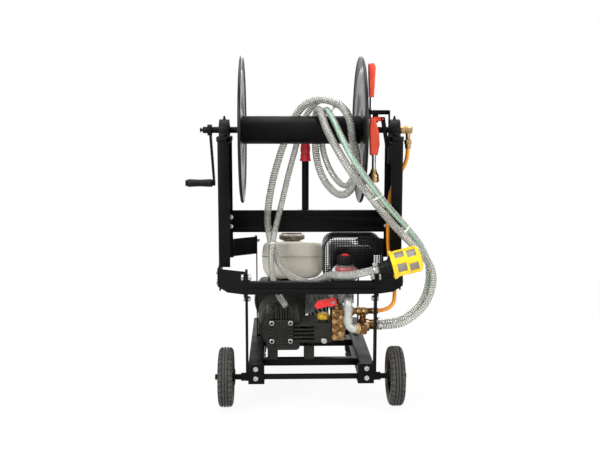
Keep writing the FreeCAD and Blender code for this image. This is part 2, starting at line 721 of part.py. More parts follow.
def leaning_block(start, length, width, depth):
    a = bore_start + lean * start
    ring = [V(a.x, mid_y - depth / 2, a.z) + lean_up * (-width / 2),
            V(a.x, mid_y + depth / 2, a.z) + lean_up * (-width / 2),
            V(a.x, mid_y + depth / 2, a.z) + lean_up * (width / 2), V(a.x, mid_y - depth / 2,
                    a.z) + lean_up * (width / 2)]
    return prism(ring, lean * length)


case_space = box(case_left_x - 1, case_right_x, engine_front_y - 20, engine_back_y + 1, case_bottom_z,
                 crankcase_top_z)
core = leaning_block(0, cylinder_length, 62, 70)
pieces = [core]
for k in range(fin_count):
    pieces.append(leaning_block(18 + k * (cylinder_length - 18) / fin_count, fin_thickness,
                                cylinder_bore_block, 96))
barrel = joined(pieces).cut(case_space)
nodes["cylinder"] = [barrel]
valve_cover = leaning_block(cylinder_length, head_length, 66, 76)
valve_cover = rounded(valve_cover, 9,
                      lambda e: e.CenterOfMass.dot(lean) > (bore_start + lean * (cylinder_length + head_length)).dot(lean) - 1)
nodes["cylinder"].append(valve_cover)

recoil_radius = recoil_diameter / 2
recoil_start = engine_back_y
shroud = spun([(0, 0), (0, recoil_radius - 4), (6, recoil_radius), (recoil_depth * 0.55, recoil_radius - 4),
               (recoil_depth * 0.65, recoil_radius - 18), (recoil_depth * 0.9, recoil_radius * 0.62),
               (recoil_depth, recoil_radius * 0.55), (recoil_depth, 0)], V(crank_axis_x, recoil_start,
                       crank_axis_z + 4), Y, X)
cuts = []
for k in range(recoil_slots):
    turn = 2 * math.pi * k / recoil_slots
    slot = box(recoil_radius * 0.25, recoil_radius * 0.5, recoil_start + recoil_depth - 5,
               recoil_start + recoil_depth + 2, -3, 3)
    slot.rotate(V(0, 0, 0), Y, math.degrees(turn))
    slot.translate(V(crank_axis_x, 0, crank_axis_z + 4))
    cuts.append(slot)
below = box(-400, 400, 0, 600, 0, bar_top_z)
nodes["recoil_cover"] = [shroud.cut(cuts).cut(below)]
pull_at = V(crank_axis_x + recoil_radius * 0.55, recoil_start + recoil_depth * 0.72,
            crank_axis_z + 4 + recoil_radius * 0.62)
pull_way = V(0.62, 0, 0.78).normalize()
stem = rod(pull_at - pull_way * 14, pull_at + pull_way * 8, 5)
bar = rod(pull_at + pull_way * 8 - Y * 16, pull_at + pull_way * 8 + Y * 24, 7)
nodes["starter_handle"] = [joined([stem, bar]).cut(shroud)]

tank = box(tank_left_x, tank_right_x, tank_front_y, tank_back_y, tank_bottom_z, tank_top_z)
tank = rounded(tank, 22, along(Z))
tank = rounded(tank, 14, lambda e: e.BoundBox.ZLength < 0.1)
seam_z = (tank_bottom_z + tank_top_z) / 2
seam = box(tank_left_x - tank_seam, tank_right_x + tank_seam, tank_front_y - tank_seam,
           tank_back_y + tank_seam,
           seam_z - 1.5, seam_z + 1.5)
seam = rounded(seam, 24, along(Z))
neck_top = tank_top_z + 12
neck = rod(V(cap_x, cap_y, tank_top_z - 4), V(cap_x, cap_y, neck_top), 26)
nodes["fuel_tank"] = [joined([tank, seam, neck])]
tank_foot_a = box(case_left_x + 30, case_left_x + 50, engine_front_y + 30, engine_front_y + 60,
                  crankcase_top_z, tank_bottom_z)
tank_foot_b = tank_foot_a.translated(V(80, 0, 0))
tank_foot_c = tank_foot_a.translated(V(40, 55, 0))
nodes["crankcase"] += [tank_foot_a, tank_foot_b, tank_foot_c]
cap_radius = cap_diameter / 2
cap_base = neck_top + free_gap
cap_profile = [(0, 0), (0, cap_radius - 4), (2, cap_radius), (cap_height - 6, cap_radius),
               (cap_height - 3, cap_radius - 3),
               (cap_height, cap_radius - 12), (cap_height, 0)]
cap = spun(cap_profile, V(cap_x, cap_y, cap_base), Z, X)
ridge = box(cap_x - cap_radius + 9, cap_x + cap_radius - 9, cap_y - 5, cap_y + 5, cap_base + cap_height - 4,
            cap_base + cap_height + 3)
nodes["fuel_cap"] = [joined([cap, rounded(ridge, 2, along(X))])]

# Muffler inside a slotted guard
guard = box(guard_left_x, guard_right_x, guard_front_y, guard_back_y, guard_bottom_z, guard_top_z)
guard = rounded(guard, 22, lambda e: along(Y)(e) and e.Vertexes[0].Point.z > guard_top_z - 1)
inner = box(guard_left_x + guard_wall, guard_right_x - guard_wall, guard_front_y + guard_wall,
            guard_back_y + 1,
            guard_bottom_z - 1, guard_top_z - guard_wall)
inner = rounded(inner, 20, lambda e: along(Y)(e) and e.Vertexes[0].Point.z > guard_top_z - guard_wall - 1)
guard = guard.cut(inner)
slots = []
slot_step_z = (guard_top_z - guard_bottom_z - 34) / guard_slot_rows
slot_step_x = (guard_right_x - guard_left_x - 24) / guard_slot_columns
for row in range(guard_slot_rows):
    for column in range(guard_slot_columns):
        x0 = guard_left_x + 12 + column * slot_step_x + 4
        z0 = guard_bottom_z + 10 + row * slot_step_z
        slots.append(box(x0, x0 + slot_step_x - 8, guard_front_y - 1, guard_front_y + guard_wall + 1, z0,
                         z0 + slot_step_z * 0.5))
slot_step_y = (guard_back_y - guard_front_y - 20) / guard_slot_columns
for column in range(guard_slot_columns + 2):
    x0 = guard_left_x + 26 + column * (guard_right_x - guard_left_x - 52) / (guard_slot_columns + 2)
    slots.append(box(x0 + 3, x0 + 13, guard_front_y + 14, guard_back_y - 14, guard_top_z - guard_wall - 1,
                     guard_top_z + 1))
nodes["muffler_guard"] = [guard.cut(slots)]
g = muffler_gap
muffler = box(guard_left_x + g, guard_right_x - g, guard_front_y + g, guard_back_y - 6, guard_bottom_z + g,
              guard_top_z - g)
muffler = rounded(muffler, 16, along(X))
port_x = guard_left_x + 38
port = rod(V(port_x, guard_back_y - 28, guard_bottom_z + g + 12),
           V(port_x, mid_y - 30, guard_bottom_z - 64), 13)
pegs = []
for peg_x in (guard_left_x + 45, guard_right_x - 45):
    pegs.append(rod(V(peg_x, guard_front_y + guard_wall, guard_bottom_z + 24),
                    V(peg_x, guard_front_y + g + 4, guard_bottom_z + 24), 5))
nodes["muffler"] = [joined([muffler, port] + pegs).cut([barrel, valve_cover])]

# Air cleaner behind the muffler, with the intake elbow to the cylinder
cleaner_left_x = tank_right_x + 8
cleaner_front_y = stay_y + stay_depth / 2 + 10
cleaner_bottom_z = 316.0
cleaner = box(cleaner_left_x, cleaner_left_x + cleaner_length, cleaner_front_y, cleaner_front_y + 92,
              cleaner_bottom_z,
              cleaner_bottom_z + cleaner_height)
cleaner = rounded(cleaner, 18, along(Z))
cleaner = rounded(cleaner, 10, lambda e: e.CenterOfMass.z > cleaner_bottom_z + cleaner_height - 1)
nodes["air_cleaner"] = [cleaner]
intake = box(cleaner_left_x + 10, cleaner_left_x + 50, mid_y + 34, cleaner_front_y + 66,
             cleaner_bottom_z - 44, cleaner_bottom_z)
nodes["carburettor"] = [rounded(intake, 8, along(Z)).cut([barrel, valve_cover])]
lever_at = V(cleaner_left_x + 30, cleaner_front_y + 66, cleaner_bottom_z - 20)
quadrant = box(lever_at.x - 16, lever_at.x + 16, lever_at.y, lever_at.y + 26, lever_at.z - 3, lever_at.z)
pivot_pin = rod(lever_at + V(0, 14, 0), lever_at + V(0, 14, 6.5), 3)
nodes["carburettor"].append(joined([quadrant, pivot_pin]))
throttle = box(lever_at.x - 6, lever_at.x + 6, lever_at.y + 7, lever_at.y + 62, lever_at.z + free_gap,
               lever_at.z + 3.4)
throttle = rounded(throttle, 5.5, along(Z))
knob = rounded(box(lever_at.x - 8, lever_at.x + 8, lever_at.y + 50, lever_at.y + 70, lever_at.z + free_gap,
                   lever_at.z + 9), 3, along(Y))
throttle = joined([throttle, knob]).cut(rod(lever_at + V(0, 14, -5), lever_at + V(0, 14, 20),
                                            3 + running_gap))
nodes["throttle_lever"] = [throttle]

# Pump
cover_x = crank_axis_x - 2
cover_half = cover_size / 2
case_front = pump_front_y + cover_thickness
pump_back_y = engine_front_y - 12
pump_body = rod(V(cover_x, case_front, pump_axis_z), V(cover_x, pump_back_y, pump_axis_z), 50)
pump_box = box(cover_x - 40, -30, case_front, 120, pump_bottom_z, pump_axis_z + 50)
pump_box = rounded(pump_box, 10, along(Y))
adapter = spun([(0, 0), (0, 50), (40, 66), (52, 66), (52, 0)], V(cover_x, pump_back_y - 52, pump_axis_z), Y,
               X)
legs = []
for leg_x in (-103.0, -4.0):
    legs.append(box(leg_x - 14, leg_x + 14, pump_bar_y - 16, pump_bar_y + 16, bar_top_z, pump_bottom_z + 8))
fins = []
for k in range(pump_fins):
    fin_x = cover_x - cover_half + 4 + k * (cover_size - 12) / (pump_fins - 1)
    fins.append(box(fin_x, fin_x + 4, pump_front_y + 4, case_front + 40, pump_axis_z + 34,
                    pump_axis_z + 56))
rings = []
for k in range(4):
    start = case_front + 14 + k * 26
    rings.append(rod(V(cover_x, start, pump_axis_z), V(cover_x, start + 6, pump_axis_z), 57))
pump_case = joined([pump_body, pump_box, adapter] + legs + fins + rings)
nodes["pump_case"] = [pump_case]

cover = box(cover_x - cover_half, cover_x + cover_half, pump_front_y + 5, case_front,
            pump_axis_z - cover_half - 2, pump_axis_z + cover_half - 2)
cover = rounded(cover, 7, along(Y))
ribs = []
for k in range(cover_ribs):
    rib_x = cover_x - cover_half + 14 + k * (cover_size - 31) / (cover_ribs - 1)
    ribs.append(box(rib_x, rib_x + 3, pump_front_y, pump_front_y + 6, pump_axis_z - cover_half + 3,
                    pump_axis_z + cover_half - 7))
plate = rounded(box(cover_x - 16, cover_x + 16, pump_front_y + 1, pump_front_y + 6, pump_axis_z - 18,
                    pump_axis_z + 14), 5, along(Y))
cover = joined([cover, plate] + ribs).cut(fins)
screws = []
for sx in (-1, 1):
    for sz in (-1, 1):
        centre = V(cover_x + sx * (cover_half - 8), pump_front_y + 5,
                   pump_axis_z - 2 + sz * (cover_half - 8))
        screws.append(spun([(0, 0), (0, 4.5), (-3, 4.5), (-4, 3.5), (-4, 2.2), (-1.5, 2.2), (-1.5, 0)],
                           centre, Y, X))
nodes["pump_cover"] = [cover]
nodes["pump_cover"] += screws

head = box(-30, head_right_x, pump_front_y + 8, 96, 172, 226)
head = rounded(head, 5, along(X))
cuts = []
for k in range(head_slots):
    z0 = 181 + k * 10.5
    cuts.append(box(-28, 8, pump_front_y + 6, pump_front_y + 20, z0, z0 + 5))
oil_neck = rod(V(34, 24, 224), V(34, 24, 233), 11)
head = joined([head, oil_neck]).cut(cuts).cut(pump_case)
nodes["pump_head"] = [head]
drain = spun([(0, 0), (0, 7), (-5, 7), (-6, 5), (-6, 0)], V(38, pump_front_y + 8, 181), Y, X)
nodes["pump_head"].append(drain)
cap_z = 233 + free_gap
cap = spun([(0, 0), (0, 15), (3, 16.5), (13, 16), (16, 12), (16, 0)], V(34, 24, cap_z), Z, X)
grooves = []
for k in range(10):
    turn = 2 * math.pi * k / 10
    grooves.append(rod(V(34 + 18 * math.cos(turn), 24 + 18 * math.sin(turn), cap_z + 2),
                       V(34 + 18 * math.cos(turn), 24 + 18 * math.sin(turn), cap_z + 18), 3))
nodes["oil_cap"] = [cap.cut(grooves)]

# Brass valve block with its row of plugs, outlet above and inlet below
block = box(head_right_x, manifold_right_x, pump_front_y + 10, 92, 178, 262)
block = rounded(block, 4, along(Z))
plugs = []
for k in range(3):
    y = pump_front_y + 26 + k * 24
    plugs.append(spun([(0, 0), (0, 10), (7, 10), (9, 8), (9, 0)], V(head_right_x + 16, y, 262), Z, X))
    plugs.append(spun([(0, 0), (0, 9), (8, 9), (10, 7), (10, 0)], V(manifold_right_x, y, 236), X, Z))
front_plug = spun([(0, 0), (0, 9), (-6, 9), (-8, 7), (-8, 0)], V(head_right_x + 13, pump_front_y + 10, 248),
                  Y, X)
front_plug_b = front_plug.translated(V(0, 0, -34))
outlet = spun([(0, 0), (0, 9), (14, 9), (14, 12), (24, 12), (24, 8.5), (34, 8.5), (34, 10), (46, 10),
               (48, 8), (hose_start_x - 8 - manifold_right_x, 8),
               (hose_start_x - 8 - manifold_right_x, 0)], V(manifold_right_x, line_y, outlet_z - 10), X, Z)
nodes["manifold"] = [joined([block, outlet, front_plug, front_plug_b] + plugs)]

pipe_x = 99.0
pipe_y = pump_front_y - 2
pipe_radius = 11.0
riser = rod(V(pipe_x, pipe_y, inlet_z + 18), V(pipe_x, pipe_y, 276), pipe_radius)
bend = Part.Face(Part.Wire(Part.makeCircle(pipe_radius, V(pipe_x, pipe_y, inlet_z + 18),
                                           Z))).revolve(V(pipe_x + 18, pipe_y, inlet_z + 18), Y, -90)
run = rod(V(pipe_x + 18, pipe_y, inlet_z), V(pipe_x + 34, pipe_y, inlet_z), pipe_radius)
top_elbow = Part.Face(Part.Wire(Part.makeCircle(pipe_radius, V(pipe_x, pipe_y, 276), Z))).revolve(V(pipe_x,
        pipe_y + 13, 276), X, -90)
top_elbow = top_elbow.fuse(rod(V(pipe_x, pipe_y + 13, 289), V(pipe_x, regulator_y - 16, 289), pipe_radius))
elbow_pipe = joined([riser, bend, run, top_elbow])
elbow_pipe = elbow_pipe.cut(nodes["manifold"][0])
inlet_centre = V(pipe_x + 34, line_y, inlet_z)
tee = box(pipe_x + 34, pipe_x + 50, pipe_y - 12, line_y + 34, inlet_z - 13, inlet_z + 13)
tee = rounded(tee, 6, along(Y))
suction_spigot = spun([(0, 0), (0, 11), (8, 11), (8, suction_bore / 2 + 2),
                       (hose_start_x - pipe_x - 50, suction_bore / 2 + 2), (hose_start_x - pipe_x - 50, 0)],
                      V(pipe_x + 50, line_y, inlet_z), X, Z)
return_spigot = spun([(0, 0), (0, 8), (8, 8), (8, return_bore / 2 + 1.5),
                      (hose_start_x - pipe_x - 50, return_bore / 2 + 1.5), (hose_start_x - pipe_x - 50, 0)],
                     V(pipe_x + 50, line_y + 23, inlet_z + 4), X, Z)
inlet_tee = joined([tee, suction_spigot, return_spigot])
nodes["inlet_pipe"] = [elbow_pipe, inlet_tee.cut(nodes["manifold"][0])]

# Pressure regulator: stem on the block, clear dome, ring, knob and bypass lever
reg = V(regulator_x, regulator_y, 0)
dome_z = 352.0
stem = joined([rod(V(head_right_x + 20, 40, 262), V(head_right_x + 20, 40, 300), 12),
               rounded(box(head_right_x + 14, regulator_x + 24, regulator_y - 16, regulator_y + 20, 276,
                           316), 6, along(Z)),
               rod(reg + Z * 314, reg + Z * (dome_z - 16), 17)])
nodes["regulator_body"] = [stem.cut(plugs)]
dome = spun([(-16, 0), (-16, 24), (-10, regulator_dome_radius), (6, regulator_dome_radius), (18, 28),
             (24, 20), (24, 0)],
            reg + Z * dome_z, Z, X)
nodes["regulator_dome"] = [dome]
ring_z = dome_z + 24
knob_base = ring_z + 4 + free_gap
neck_ring = spun([(0, 0), (0, 23), (4, 23), (4, 0)], reg + Z * ring_z, Z, X)
nodes["regulator_dome"].append(neck_ring)
knob_radius = knob_diameter / 2
knob = spun([(0, 0), (0, knob_radius - 3), (2, knob_radius), (20, knob_radius - 1), (24, knob_radius - 5),
             (24, 0)], reg + Z * knob_base, Z, X)
grooves = []
for k in range(9):
    turn = 2 * math.pi * k / 9
    at = reg + V((knob_radius + 2) * math.cos(turn), (knob_radius + 2) * math.sin(turn), 0)
    grooves.append(rod(at + Z * (knob_base - 1), at + Z * (knob_base + 26), 5))
nodes["regulator_knob"] = [knob.cut(grooves)]

lever_pivot = V(head_right_x + 2, 12, 283)
hub_pin = rod(V(lever_pivot.x, lever_pivot.y - 10, lever_pivot.z), V(lever_pivot.x, lever_pivot.y + 22,
        lever_pivot.z), 5)
mount_block = rounded(box(lever_pivot.x - 10, head_right_x + 14, lever_pivot.y + 12, lever_pivot.y + 28,
                          262, 294), 3, along(Y))
nodes["regulator_body"].append(joined([mount_block, hub_pin]).cut(plugs).cut(nodes["regulator_body"][0]))
lever_hole = rod(V(lever_pivot.x, lever_pivot.y - 40, lever_pivot.z), V(lever_pivot.x, 60, lever_pivot.z),
                 5 + running_gap)
lever_boss = rod(V(lever_pivot.x, lever_pivot.y - 8, lever_pivot.z),
                 V(lever_pivot.x, lever_pivot.y + 12 - free_gap, lever_pivot.z), 11)
handle_arm = prism([V(lever_pivot.x, lever_pivot.y - 8, lever_pivot.z + 10),
                    V(lever_pivot.x - 40, lever_pivot.y - 8, lever_pivot.z + 2),
                    V(lever_pivot.x - 48, lever_pivot.y - 8, lever_pivot.z - 10), V(lever_pivot.x - 42,
                            lever_pivot.y - 8, lever_pivot.z - 18),
                    V(lever_pivot.x, lever_pivot.y - 8, lever_pivot.z - 9)], Y * 14)
handle_arm = rounded(handle_arm, 3, along(Y))
nodes["bypass_lever"] = [joined([lever_boss, handle_arm]).cut(lever_hole)]

# Strainer at the end of the suction hose
rise = math.radians(strainer_rise)
strain = V(math.cos(rise), 0, math.sin(rise))
strain_side = V(-math.sin(rise), 0, math.cos(rise))
neck_start = V(175, -38, 382)
neck_length = 34.0
cage_start = neck_start + strain * neck_length
cage_radius = strainer_diameter / 2
neck = spun([(0, 0), (0, 13.5), (16, 13.5), (16, 17), (26, 17), (neck_length, cage_radius - 8),
             (neck_length, 0)],
            neck_start, strain, strain_side)
nodes["strainer_neck"] = [neck]
wall = strainer_wall
cage_profile = [(0, 0), (0, cage_radius + 2.5), (7, cage_radius + 2.5), (7, cage_radius),
                (strainer_length - 8, cage_radius),
                (strainer_length, cage_radius - 6), (strainer_length, 0), (strainer_length - wall, 0),
                (strainer_length - wall, cage_radius - 7), (strainer_length - 9, cage_radius - wall), (wall,
                        cage_radius - wall), (wall, 0)]
cage = spun(cage_profile, cage_start, strain, strain_side)
window_length = (strainer_length - 30) / windows_along
window_width = 2 * math.pi * cage_radius / windows_around - 15
windows = []
for ring_index in range(windows_along):
    a0 = 12 + ring_index * (window_length + 7)
    for k in range(windows_around):
        turn = 360.0 * (k + 0.42 + 0.15 * ring_index) / windows_around
        cut = box(a0, a0 + window_length, -window_width / 2, window_width / 2, cage_radius - wall - 2,
                  cage_radius + 4)
        cut.rotate(V(0, 0, 0), X, turn)
        cut.rotate(V(0, 0, 0), Y, -strainer_rise)
        cut.translate(cage_start)
        windows.append(cut)
nodes["strainer_cage"] = [cage.cut(windows)]
mesh_profile = [(wall + 0.5, 0), (wall + 0.5, cage_radius - wall - 0.5),
                (strainer_length - 10, cage_radius - wall - 0.5),
                (strainer_length - wall - 0.5, cage_radius - 8), (strainer_length - wall - 0.5, 0)]
nodes["strainer_mesh"] = [spun(mesh_profile, cage_start, strain, strain_side)]

# Hoses
# Suction hose: from the tee it bows out to the right, climbs over the drum, hangs in one loop in
# front of it, comes over again, and runs from the tie across the top bar to the strainer.
suction_route = [
    (hose_start_x, line_y, inlet_z), (212, line_y, inlet_z),
    (250.9, 24, 218.3), (299, 23, 254.4), (322.1, 20, 295.1), (330.8, 15, 344.2), (315.4, 10, 391.6),
    (271.6, 2, 437.7), (224.1, -9, 483.6), (185.7, -26, 528.2), (150.2, -36, 572.4),
    (111.8, -42, 618.2), (80, -34, 666.4), (53.4, -4, 715.1), (39, 46, 748), (27, 88, 791),
    (22, 138, 795), (17, 178, 765), (18, 190, 716), (21.6, 180, 649.8), (39.2, 160, 600.5),
    (65.4, 128, 566.9), (93.4, 94, 559.2), (115.3, 66, 583.7), (124.6, 54, 627.8), (123.7, 49, 676.1),
    (111, 47, 708), (108, 46, 748), (98, 54, 783), (78, 74, 808), (50, 98, 819), (18, 122, 822),
    (-14, 148, 808), (-40, 171, 775), (-64.3, 188, 717), (-84.2, 184, 658.2), (-101.4, 176, 599.5),
    (-112.9, 168, 540.7), (-118.6, 158, 487.9), (-112, 150, 445), (-104, 142, 412), (-92, 128, 381),
    (-75, 110, 350), (-49, 85, 334), (-24, 62, 328), (3, 42, 327), (27, 22, 340), (48, 2, 359),
    (76, -17, 360), (104, -29, 363),
    tuple(neck_start - strain * 31.7), tuple(neck_start)]
# Return hose: beside the suction hose all the way to the tie, then down to its open cut end.
return_route = [
    (hose_start_x, line_y + 23, inlet_z + 4), (211, line_y + 23, inlet_z + 4),
    (251.5, 47, 223.4), (292, 46, 254.3), (314.2, 44, 292.4), (321.9, 39, 337.9), (318.4, 33, 385.9),
    (294.1, 24, 436.7), (249.7, 4, 488.4), (201.7, -22, 539.5), (160.4, -58, 590), (123.2, -80, 637.6),
    (94.2, -76, 682.5), (74.4, -34, 726.2), (69, 32, 748), (50, 78, 788), (43, 126, 797),
    (38, 168, 772), (39, 184, 724), (36.8, 176, 686.6), (52.9, 158, 634.3), (77, 136, 596),
    (98, 110, 583), (114, 86, 599), (120.5, 77, 640), (117, 71, 682), (112, 69, 722), (110, 73, 758),
    (102, 86, 786), (84, 104, 806), (56, 124, 815), (31, 148, 822), (5, 167, 800), (-22.2, 178, 750.8),
    (-36.3, 180, 689.3), (-53.3, 174, 630.6), (-67.6, 164, 572.2), (-81.9, 150, 514.3),
    (-96.1, 134, 460), (-105.9, 118, 411.7), (-107.3, 100, 369.8), (-101.7, 76, 332.4),
    (-92.1, 46, 308.1), (-80, 26, 287.7), (-66.6, 14, 269.8)]
# Pressure hose: from the swivel through the window in the right post, down its channel, and
# under the post to the pump outlet.
outlet_end_x = hose_start_x - 8
outlet_line_z = outlet_z - 10
pressure_route = [
    (swivel_branch_x, reel_y, ferrule_top - 1), (swivel_branch_x, reel_y, 670), (265, 125, 645), (252, 125,
            621),
    (238, 125, 597), (226.5, 125, 571), (221, 125.4, 536), (219.5, 124.7, 486), (220, 123, 440), (220.5,
            122, 410),
    (225, 111, 371), (229.5, 87, 330), (233, 60, 296), (226, 36, 267),
    (196, line_y, outlet_line_z), (outlet_end_x, line_y, outlet_line_z)]
nodes["suction_hose"] = [cord_tube(suction_route, suction_outer / 2, "suction hose", suction_bore / 2)]
nodes["return_hose"] = [cord_tube(return_route, return_outer / 2, "return hose", return_bore / 2)]
nodes["pressure_hose"] = [cord_tube(pressure_route, pressure_outer / 2, "pressure hose", pressure_bore / 2)]


def hose_clamp(at, way, radius):
    """A worm-drive clamp: a band round the hose and its screw housing on top."""
    side = way.cross(Y).normalize()
    band = pipe(at - way * 4.5, at + way * 4.5, radius + 1.2, radius + 0.05)
    high = at + side * (radius + 4)
    corner_at = high - way * 4 - side * 3.5 - Y * 8
    ring = [corner_at, corner_at + side * 7, corner_at + side * 7 + way * 8, corner_at + way * 8]
    housing = prism(ring, Y * 13)
    screw = rod(high - Y * 12, high - Y * 8, 3.5)
    bore = rod(at - way * 10, at + way * 10, radius + 0.05)
    return joined([band, housing.cut(bore), screw])


# Nylon tie that gathers the two hoses in front of the tank
tie_suction = V(-106.6, 144.6, 423.0)
tie_return = V(-103.4, 121.9, 423.6)
tie_way = V(0.07, -0.29, -0.93).normalize()
tie_gap = 0.9


def tie_ring(extra, half_width):
    ends = []
    for centre, radius in ((tie_suction, suction_outer / 2), (tie_return, return_outer / 2)):
        ends.append(rod(centre - tie_way * half_width, centre + tie_way * half_width,
                        radius + tie_gap + extra))
    between = (tie_return - tie_suction)
    across = between.cross(tie_way).normalize()
    wide_a = across * (suction_outer / 2 + tie_gap + extra)
    wide_b = across * (return_outer / 2 + tie_gap + extra)
    low = tie_way * -half_width
    ring = [tie_suction + wide_a + low, tie_return + wide_b + low, tie_return - wide_b + low,
            tie_suction - wide_a + low]
    return joined(ends + [prism(ring, tie_way * (2 * half_width))])


tie_band = tie_ring(1.3, 2.2).cut(tie_ring(0, 4))
across = (tie_return - tie_suction).cross(tie_way).normalize()
lock_at = (tie_suction + tie_return) * 0.5 + across * (suction_outer / 2 + tie_gap + 3)
lock = box(-3, 3, -3, 3, -3, 3)
lock.translate(lock_at)
nodes["hose_ties"] = [
    joined([tie_band, lock.cut(tie_ring(0, 4))]),
    hose_clamp(V(hose_start_x + 11, line_y, inlet_z), X, suction_outer / 2),
    hose_clamp(V(hose_start_x + 10, line_y + 23, inlet_z + 4), X, return_outer / 2),
    hose_clamp(neck_start - strain * 9, strain, suction_outer / 2)]
pressure_ferrule = spun([(0, pressure_radius), (0, 8.5), (3, 9), (14, 8), (15, pressure_radius)],
                        V(outlet_end_x, line_y, outlet_line_z), X, Z)
nodes["manifold"].append(pressure_ferrule)

# Spray gun hung in a holder on the right post
gun = V(gun_x, gun_y, 0)
clip_z = 780.0
link_x = gun_x - 9
holder_x = post_inner_x - 6
strap_low = box(holder_x - 3, holder_x, post_front_y, gun_y - 10, 650, clip_z + 12)
strap_high = box(holder_x - 3, holder_x, post_front_y, gun_y + 8, clip_z, clip_z + 12)
strap = joined([strap_low, strap_high])
weld = box(holder_x, post_inner_x, post_front_y, post_front_y + plate_thickness, 650, 700)
reach = box(link_x, holder_x, gun_y + 5, gun_y + 8, clip_z, clip_z + 12)
clip = rod(V(link_x, gun_y, clip_z), V(link_x, gun_y, clip_z + 12), 10)
clip_hole = rod(V(link_x, gun_y, clip_z - 1), V(link_x, gun_y, clip_z + 13), 5 + hole_gap)
strap = rounded(strap, 8,
                lambda e: along(X)(e) and e.Vertexes[0].Point.z > clip_z and e.Vertexes[0].Point.y < gun_y)
nodes["gun_holder"] = [joined([strap, weld, reach, clip]).cut(clip_hole)]
body = prism([V(gun_x - 11, gun_y - 9, 672), V(gun_x + 10, gun_y - 9, 672), V(gun_x + 15, gun_y - 9, 700),
              V(gun_x + 13, gun_y - 9, 735),
              V(gun_x + 2, gun_y - 9, 768), V(gun_x - 12, gun_y - 9, 776), V(gun_x - 14, gun_y - 9,
                      740)], Y * 18)
body = rounded(body, 5, lambda e: not along(Y)(e))
grip_tube = prism([V(gun_x - 15, gun_y - 10, 826), V(gun_x - 2, gun_y - 10, 826),
                   V(gun_x + 2, gun_y - 10, 905), V(gun_x - 4, gun_y - 10, 916),
                   V(gun_x - 18, gun_y - 10, 914), V(gun_x - 17, gun_y - 10, 870)], Y * 20)
grip_tube = rounded(grip_tube, 4, lambda e: not along(Y)(e))
nodes["gun_body"] = [body, grip_tube]
link = spun([(770, 0), (770, 5), (clip_z + 12, 5), (clip_z + 12, 9), (clip_z + 20, 9), (clip_z + 20, 5),
             (828, 5), (828, 0)],
            V(link_x, gun_y, 0), Z, X)
gun_link = link.cut(body).cut(grip_tube)
lance = rod(V(gun_x, gun_y, 621), V(gun_x, gun_y, 672), 5.5)
nozzle = spun([(0, 3), (0, 12), (12, 13), (16, 13), (20, 10), (30, 7), (30, 5.5), (22, 5.5)],
              V(gun_x, gun_y, 598), Z, X)
nodes["gun_lance"] = [lance, nozzle, gun_link]
trigger_pivot = V(gun_x + 22, gun_y, 768)
trigger_ears = box(gun_x - 2, trigger_pivot.x + 5, gun_y - 3, gun_y + 3, 762, 774)
trigger_pin = rod(trigger_pivot - Y * 9, trigger_pivot + Y * 9, 2.5)
nodes["gun_body"].append(joined([trigger_ears, trigger_pin]).cut(body))
cheeks = []
for side in (-1, 1):
    y0 = gun_y + (3.5 if side > 0 else -6.5)
    cheeks.append(prism([V(trigger_pivot.x - 5, y0, trigger_pivot.z + 5),
                         V(trigger_pivot.x + 6, y0, trigger_pivot.z + 5),
                         V(trigger_pivot.x + 17, y0, 700), V(trigger_pivot.x + 13, y0,
                                 690), V(trigger_pivot.x + 8, y0, 700)], Y * 3))
face_plate = prism([V(trigger_pivot.x + 4, gun_y - 6.5, 755), V(trigger_pivot.x + 7, gun_y - 6.5, 755),
                    V(trigger_pivot.x + 17, gun_y - 6.5, 700),
                    V(trigger_pivot.x + 13, gun_y - 6.5, 700)], Y * 13)
trigger = joined(cheeks + [face_plate]).cut(rod(trigger_pivot - Y * 20, trigger_pivot + Y * 20,
                                                2.5 + running_gap))
nodes["gun_trigger"] = [trigger]

nodes["frame_bolts"] = bolts + axle_washers

# Moved to the origin and written out
cord_names = ("suction_hose", "return_hose", "hose_ties", "strainer_neck", "strainer_cage", "strainer_mesh")
low = [1e9] * 3
high = [-1e9] * 3
for name, shapes in nodes.items():
    if name in cord_names:
        continue
    for shape in shapes:
        b = shape.BoundBox
        low = [min(low[0], b.XMin), min(low[1], b.YMin), min(low[2], b.ZMin)]
        high = [max(high[0], b.XMax), max(high[1], b.YMax), max(high[2], b.ZMax)]
shift = V(-(low[0] + high[0]) / 2, -(low[1] + high[1]) / 2, -low[2])
for name, shapes in nodes.items():
    solids = []
    for shape in shapes:
        solids += [s.translated(shift) for s in shape.Solids]
    whole = solids[0] if len(solids) == 1 else Part.makeCompound(solids)
    if not whole.isValid():
        print("not valid:", name)
    whole.exportStep("parts/%s.step" % name)
print("nodes", len(nodes))
print("shift", [round(v, 3) for v in shift])
print("size", [round(high[k] - low[k], 2) for k in range(3)])
for line in print_lines:
    print(line)
